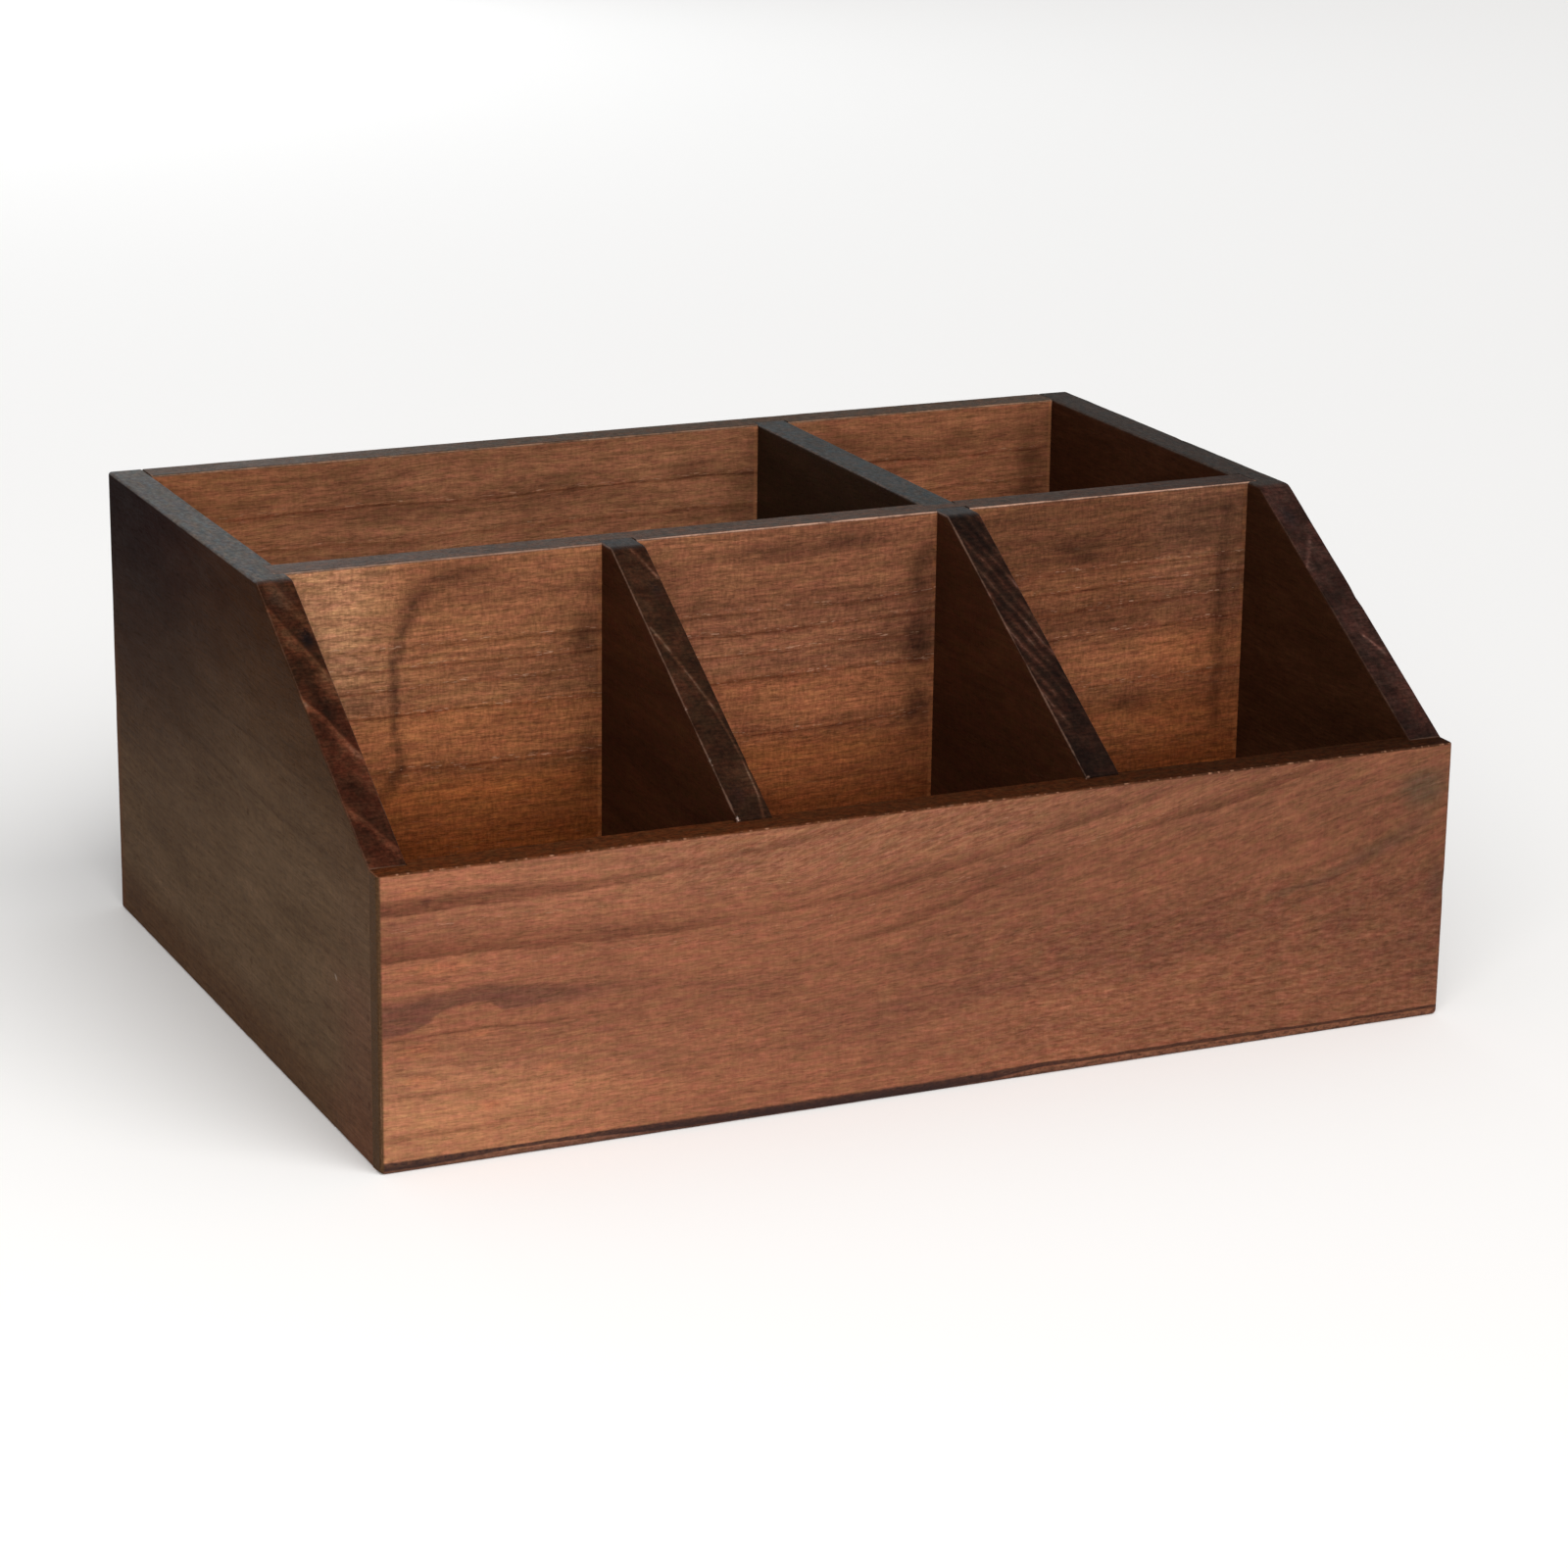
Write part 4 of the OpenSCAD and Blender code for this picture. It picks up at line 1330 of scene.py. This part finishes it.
LOOK_L = dict(rings=None, diagonal=[
    (0.0, 0.20), (0.03, 0.62), (0.05, 0.70), (0.066, 0.16), (0.12, 0.10),
    (0.22, 0.24), (0.30, 0.36), (0.345, 0.80), (0.37, 0.95), (0.388, 0.12),
    (0.46, 0.08), (0.54, 0.26), (0.60, 0.60), (0.645, 0.76), (0.668, 0.12),
    (0.73, 0.16), (0.80, 0.50), (0.84, 0.56), (0.862, 0.16), (1.0, 0.30)],
    amount=0.62, level=0.12,
              loose=0.4, deepest="20110b", dark="391d12", light="533020",
              line="745140", far=(0.98, 1.12, 1.06),
              spots=[(-40.0, -145.0, 4.5, 3.0, 0.75, "120c0f"),
                     (-27.0, -148.0, 6.0, 5.0, 0.30, "3a2c26")])
LOOK_1 = dict(rings=None, loose=0.35, level=0.42, deepest="170b07",
              dark="27160c", light="3c2417", line="6a5040",
              curves=[([(-106, -47.4, 0.8), (-99, -46.0, 0.7),
                        (-88.0, -45.8, 0.6), (-80.0, -46.3, 0.6),
                        (-72.0, -47.2, 1.1), (-65.5, -48.7, 0.9),
                        (-54.4, -51.7, 1.2), (-47.4, -53.8, 0.9)], 0.36),
                      ([(-32.3, -45.5, 1.2), (-22.8, -49.2, 1.2)], 0.34)],
              spots=[(-36.0, -47.5, 4.0, 2.5, 0.6, "17100f"),
                     (-98.0, -51.0, 4.0, 3.0, 0.4, "191010"),
                     (-104.6, -54.2, 0.6, 0.5, 0.9, "b3a298"),
                     (-88.0, -54.4, 0.5, 0.4, 0.7, "a08c80"),
                     (-72.0, -54.4, 1.0, 0.4, 0.6, "8f7c70")])
LOOK_2 = dict(rings=WAVE, period=2.9, phase=0.3, amount=0.52, level=0.12,
              loose=0.45, deepest="150b07", dark="24140d", light="392319",
              line="584037",
              spots=[(-92.0, 58.5, 6.0, 3.5, 0.35, "2c2427"),
                     (-26.0, 60.0, 5.0, 3.0, 0.5, "1c1718"),
                     (-54.0, 55.6, 0.6, 0.4, 0.6, "8f8078")])
LOOK_R = dict(rings=None, loose=0.45, level=0.45, deepest="180e0c",
              dark="281914", light="3e2822", line="6a4c42",
              curves=[([(-79.5, 150.8, 1.2), (-73.2, 147.4, 0.9)], 0.34),
                      ([(-49.3, 143.1, 1.2), (-39.9, 149.1, 1.2)], 0.30)],
              spots=[(-94.0, 149.5, 10.0, 4.0, 0.30, "4a2a20"),
                     (-33.0, 146.0, 6.0, 4.0, 0.4, "231d1f")])

mats = {}
# the grey side tops are a painted sheen, lighter on the left side than on the right
mats["left_side"] = wood(
    "wood_left", "y", 1, lin("523220"), lin("3c2214"), lin("28150c"),
    SIDE_LINES, tilt=(0.66, 0.78), span=(-120.0, 20.0), line_k=0.16,
    mottle=0.4, fibre_k=0.18, lo=(X0, YL, 0), hi=(X0 + T, Y1, H), sloped=True,
    extra=outer_extra, rough=0.6, spec=0.01, slope=LOOK_L,
    specks=0.05, wear_highlight_k=0.25, wear_highlight_col="7d604e", long_k=1.4, hue_k=0.6,
    edge=("5a5853", "404246", "564d49"), edge_k=0.8)
mats["right_side"] = wood(
    "wood_right", "y", 2, lin("523220"), lin("3c2214"), lin("28150c"),
    SIDE_LINES, tilt=(0.66, 0.78), span=(60.0, 220.0), line_k=0.25,
    mottle=0.3, fibre_k=0.16, lo=(X1 - T, YL, 0), hi=(X1, Y1, H), sloped=True,
    extra=outer_extra, rough=0.6, spec=0.02, slope=LOOK_R,
    specks=0.05, wear_highlight_k=0.2, wear_highlight_col="7d604e", long_k=1.4, hue_k=0.6,
    edge=("3a342f", "26211f", "352924"), edge_k=0.8)
mats["front_panel"] = wood(
    "wood_front", "x", 3, lin("8d5942"), lin("7f513c"), lin("6e4535"),
    [(28, 2, .3), (16, 2.5, .25), (44, 2, .3), (60, 3, .25)],
    tilt=(1.0, 0.3), span=(-80.0, 60.0), line_k=0.26, warp_k=0.6, mottle=0.6,
    fibre_k=0.20, cross_k=0.07, hue_k=0.9, lo=(X0, Y0, 0), hi=(X1, Y0 + T, HF),
    extra=front_extra, rough=0.55, specks=0.35, wear_highlight_k=0.6, wear_highlight_on=front_wear_highlight,
    edge=("502812", "210c04", "36200f"), edge_k=0.7, top_falloff_lr=(X0 + 20.0, X1),
    sheen_top=0.7, flow=front_flow, spec=0.02)
mats["middle_panel"] = wood(
    "wood_middle", "x", 5, lin("976444"), lin("83543a"), lin("6b432f"),
    [(71.8, 3.5, .9), (87, 2.2, .9), (94.4, 2.2, .9), (100.2, 1.8, .9),
     (105.8, 1.8, .7), (113.5, 4, .6), (119, 3, .5)],
    tilt=(1.0, 0.0), span=(0.0, 132.0), line_k=0.72, warp_k=0.5,
    mottle=0.5, fibre_k=0.30, cross_k=0.16, hue_k=0.7,
    lo=(X0 + T - DADO, YM, TB), hi=(X1 - T + DADO, YM + T, H),
    extra=middle_extra, rough=0.55, specks=0.40, wear_highlight_k=0.8,
    wear_highlight_on=middle_wear_highlight, wear_highlight_col="c49a84",
    edge=("4c3d35", "251611", "47372f"), top_falloff_lr=(20.0, X1),
    flow=lambda g: g.max(g.x, 0.0) * 0.022)
mats["back_panel"] = wood(
    "wood_back", "x", 4, lin("916146"), lin("7c513a"), lin("63402d"),
    [(72, 4, .6), (86, 3, .5), (97, 3, .5), (104, 3, .6), (114.5, 4, 1.0),
     (122.5, 3, .6)],
    tilt=(1.0, 0.0), span=(0.0, 132.0), line_k=0.75, warp_k=1.1, mottle=0.55,
    fibre_k=0.24, cross_k=0.09, hue_k=0.8,
    lo=(X0 + T, Y1 - T, 0), hi=(X1 - T, Y1, H),
    extra=back_extra, rough=0.55, specks=0.22, wear_highlight_k=0.5, wear_highlight_on=back_wear_highlight,
    wear_highlight_col="b58a70", edge=("4d4035", "3c2c21", "493427"))
for key, nm, seed, xx, look, ends in (
        ("front_divider_left", "wood_divider_1", 6, D1, LOOK_1, (0.48, 0.88)),
        ("front_divider_right", "wood_divider_2", 7, D2, LOOK_2,
         (0.45, 0.89))):
    mats[key] = wood(
        nm, "y", seed, lin("4d2c1a"), lin("412416"), lin("351d12"),
        SIDE_LINES, tilt=ends, span=(-60.0, 160.0), line_k=0.3,
        mottle=0.5, fibre_k=0.12,
        lo=(xx, Y0 + T - DADO, TB), hi=(xx + T, YM + DADO, H),
        sloped=True, rough=0.55, slope=look, specks=0.05,
        wear_highlight_k=0.45, wear_highlight_col="8a6a5a",
        wear_highlight_on=lambda g, xx=xx: g.step(g.x, xx + 1.4, xx + 0.8),
        edge=("3c3a39", "303032", "3a322e"))
mats["rear_divider"] = wood(
    "wood_divider_3", "y", 8, lin("39261a"), lin("302016"), lin("281a12"),
    SIDE_LINES, tilt=(0.9, 0.3), span=(-20.0, 160.0), line_k=0.2, mottle=0.5,
    fibre_k=0.12, lo=(D3, YM + T - DADO, TB), hi=(D3 + T, Y1 - T + DADO, H),
    rough=0.55, specks=0.05, wear_highlight_k=0.3, wear_highlight_col="8a6a58",
    edge=("3e403f", "343638", "3c3532"))
mats["bottom_panel"] = wood(
    "wood_bottom", "x", 9, lin("7a5238"), lin("5c3a28"), lin("43291c"),
    [(-80, 5, .5), (-52, 6, .6), (-20, 4, .6), (12, 6, .6), (48, 5, .5),
     (82, 5, .5)],
    tilt=(0.1, 1.0), span=(-110.0, 110.0), line_k=0.5, mottle=0.35,
    edge=None, lo=(X0 + LIP, Y0 + LIP, 0), hi=(X1 - LIP, Y1 - LIP, TB),
    rough=0.6, specks=0.3, wear_highlight_k=0.2)

for node, (ob, slot) in pieces.items():
    ob.data.materials.append(mats[node])
    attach(ob, "root")
    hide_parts(node)

metal = steel()
for n in ("side_brads", "bottom_brads"):
    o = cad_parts[n]
    if not o.material_slots:
        o.data.materials.append(metal)
    for s in o.material_slots:
        s.material = metal

scene = bpy.context.scene
scene.view_settings.view_transform = "Standard"
scene.view_settings.look = "None"
scene.view_settings.exposure = 0.0
scene.view_settings.gamma = 1.0
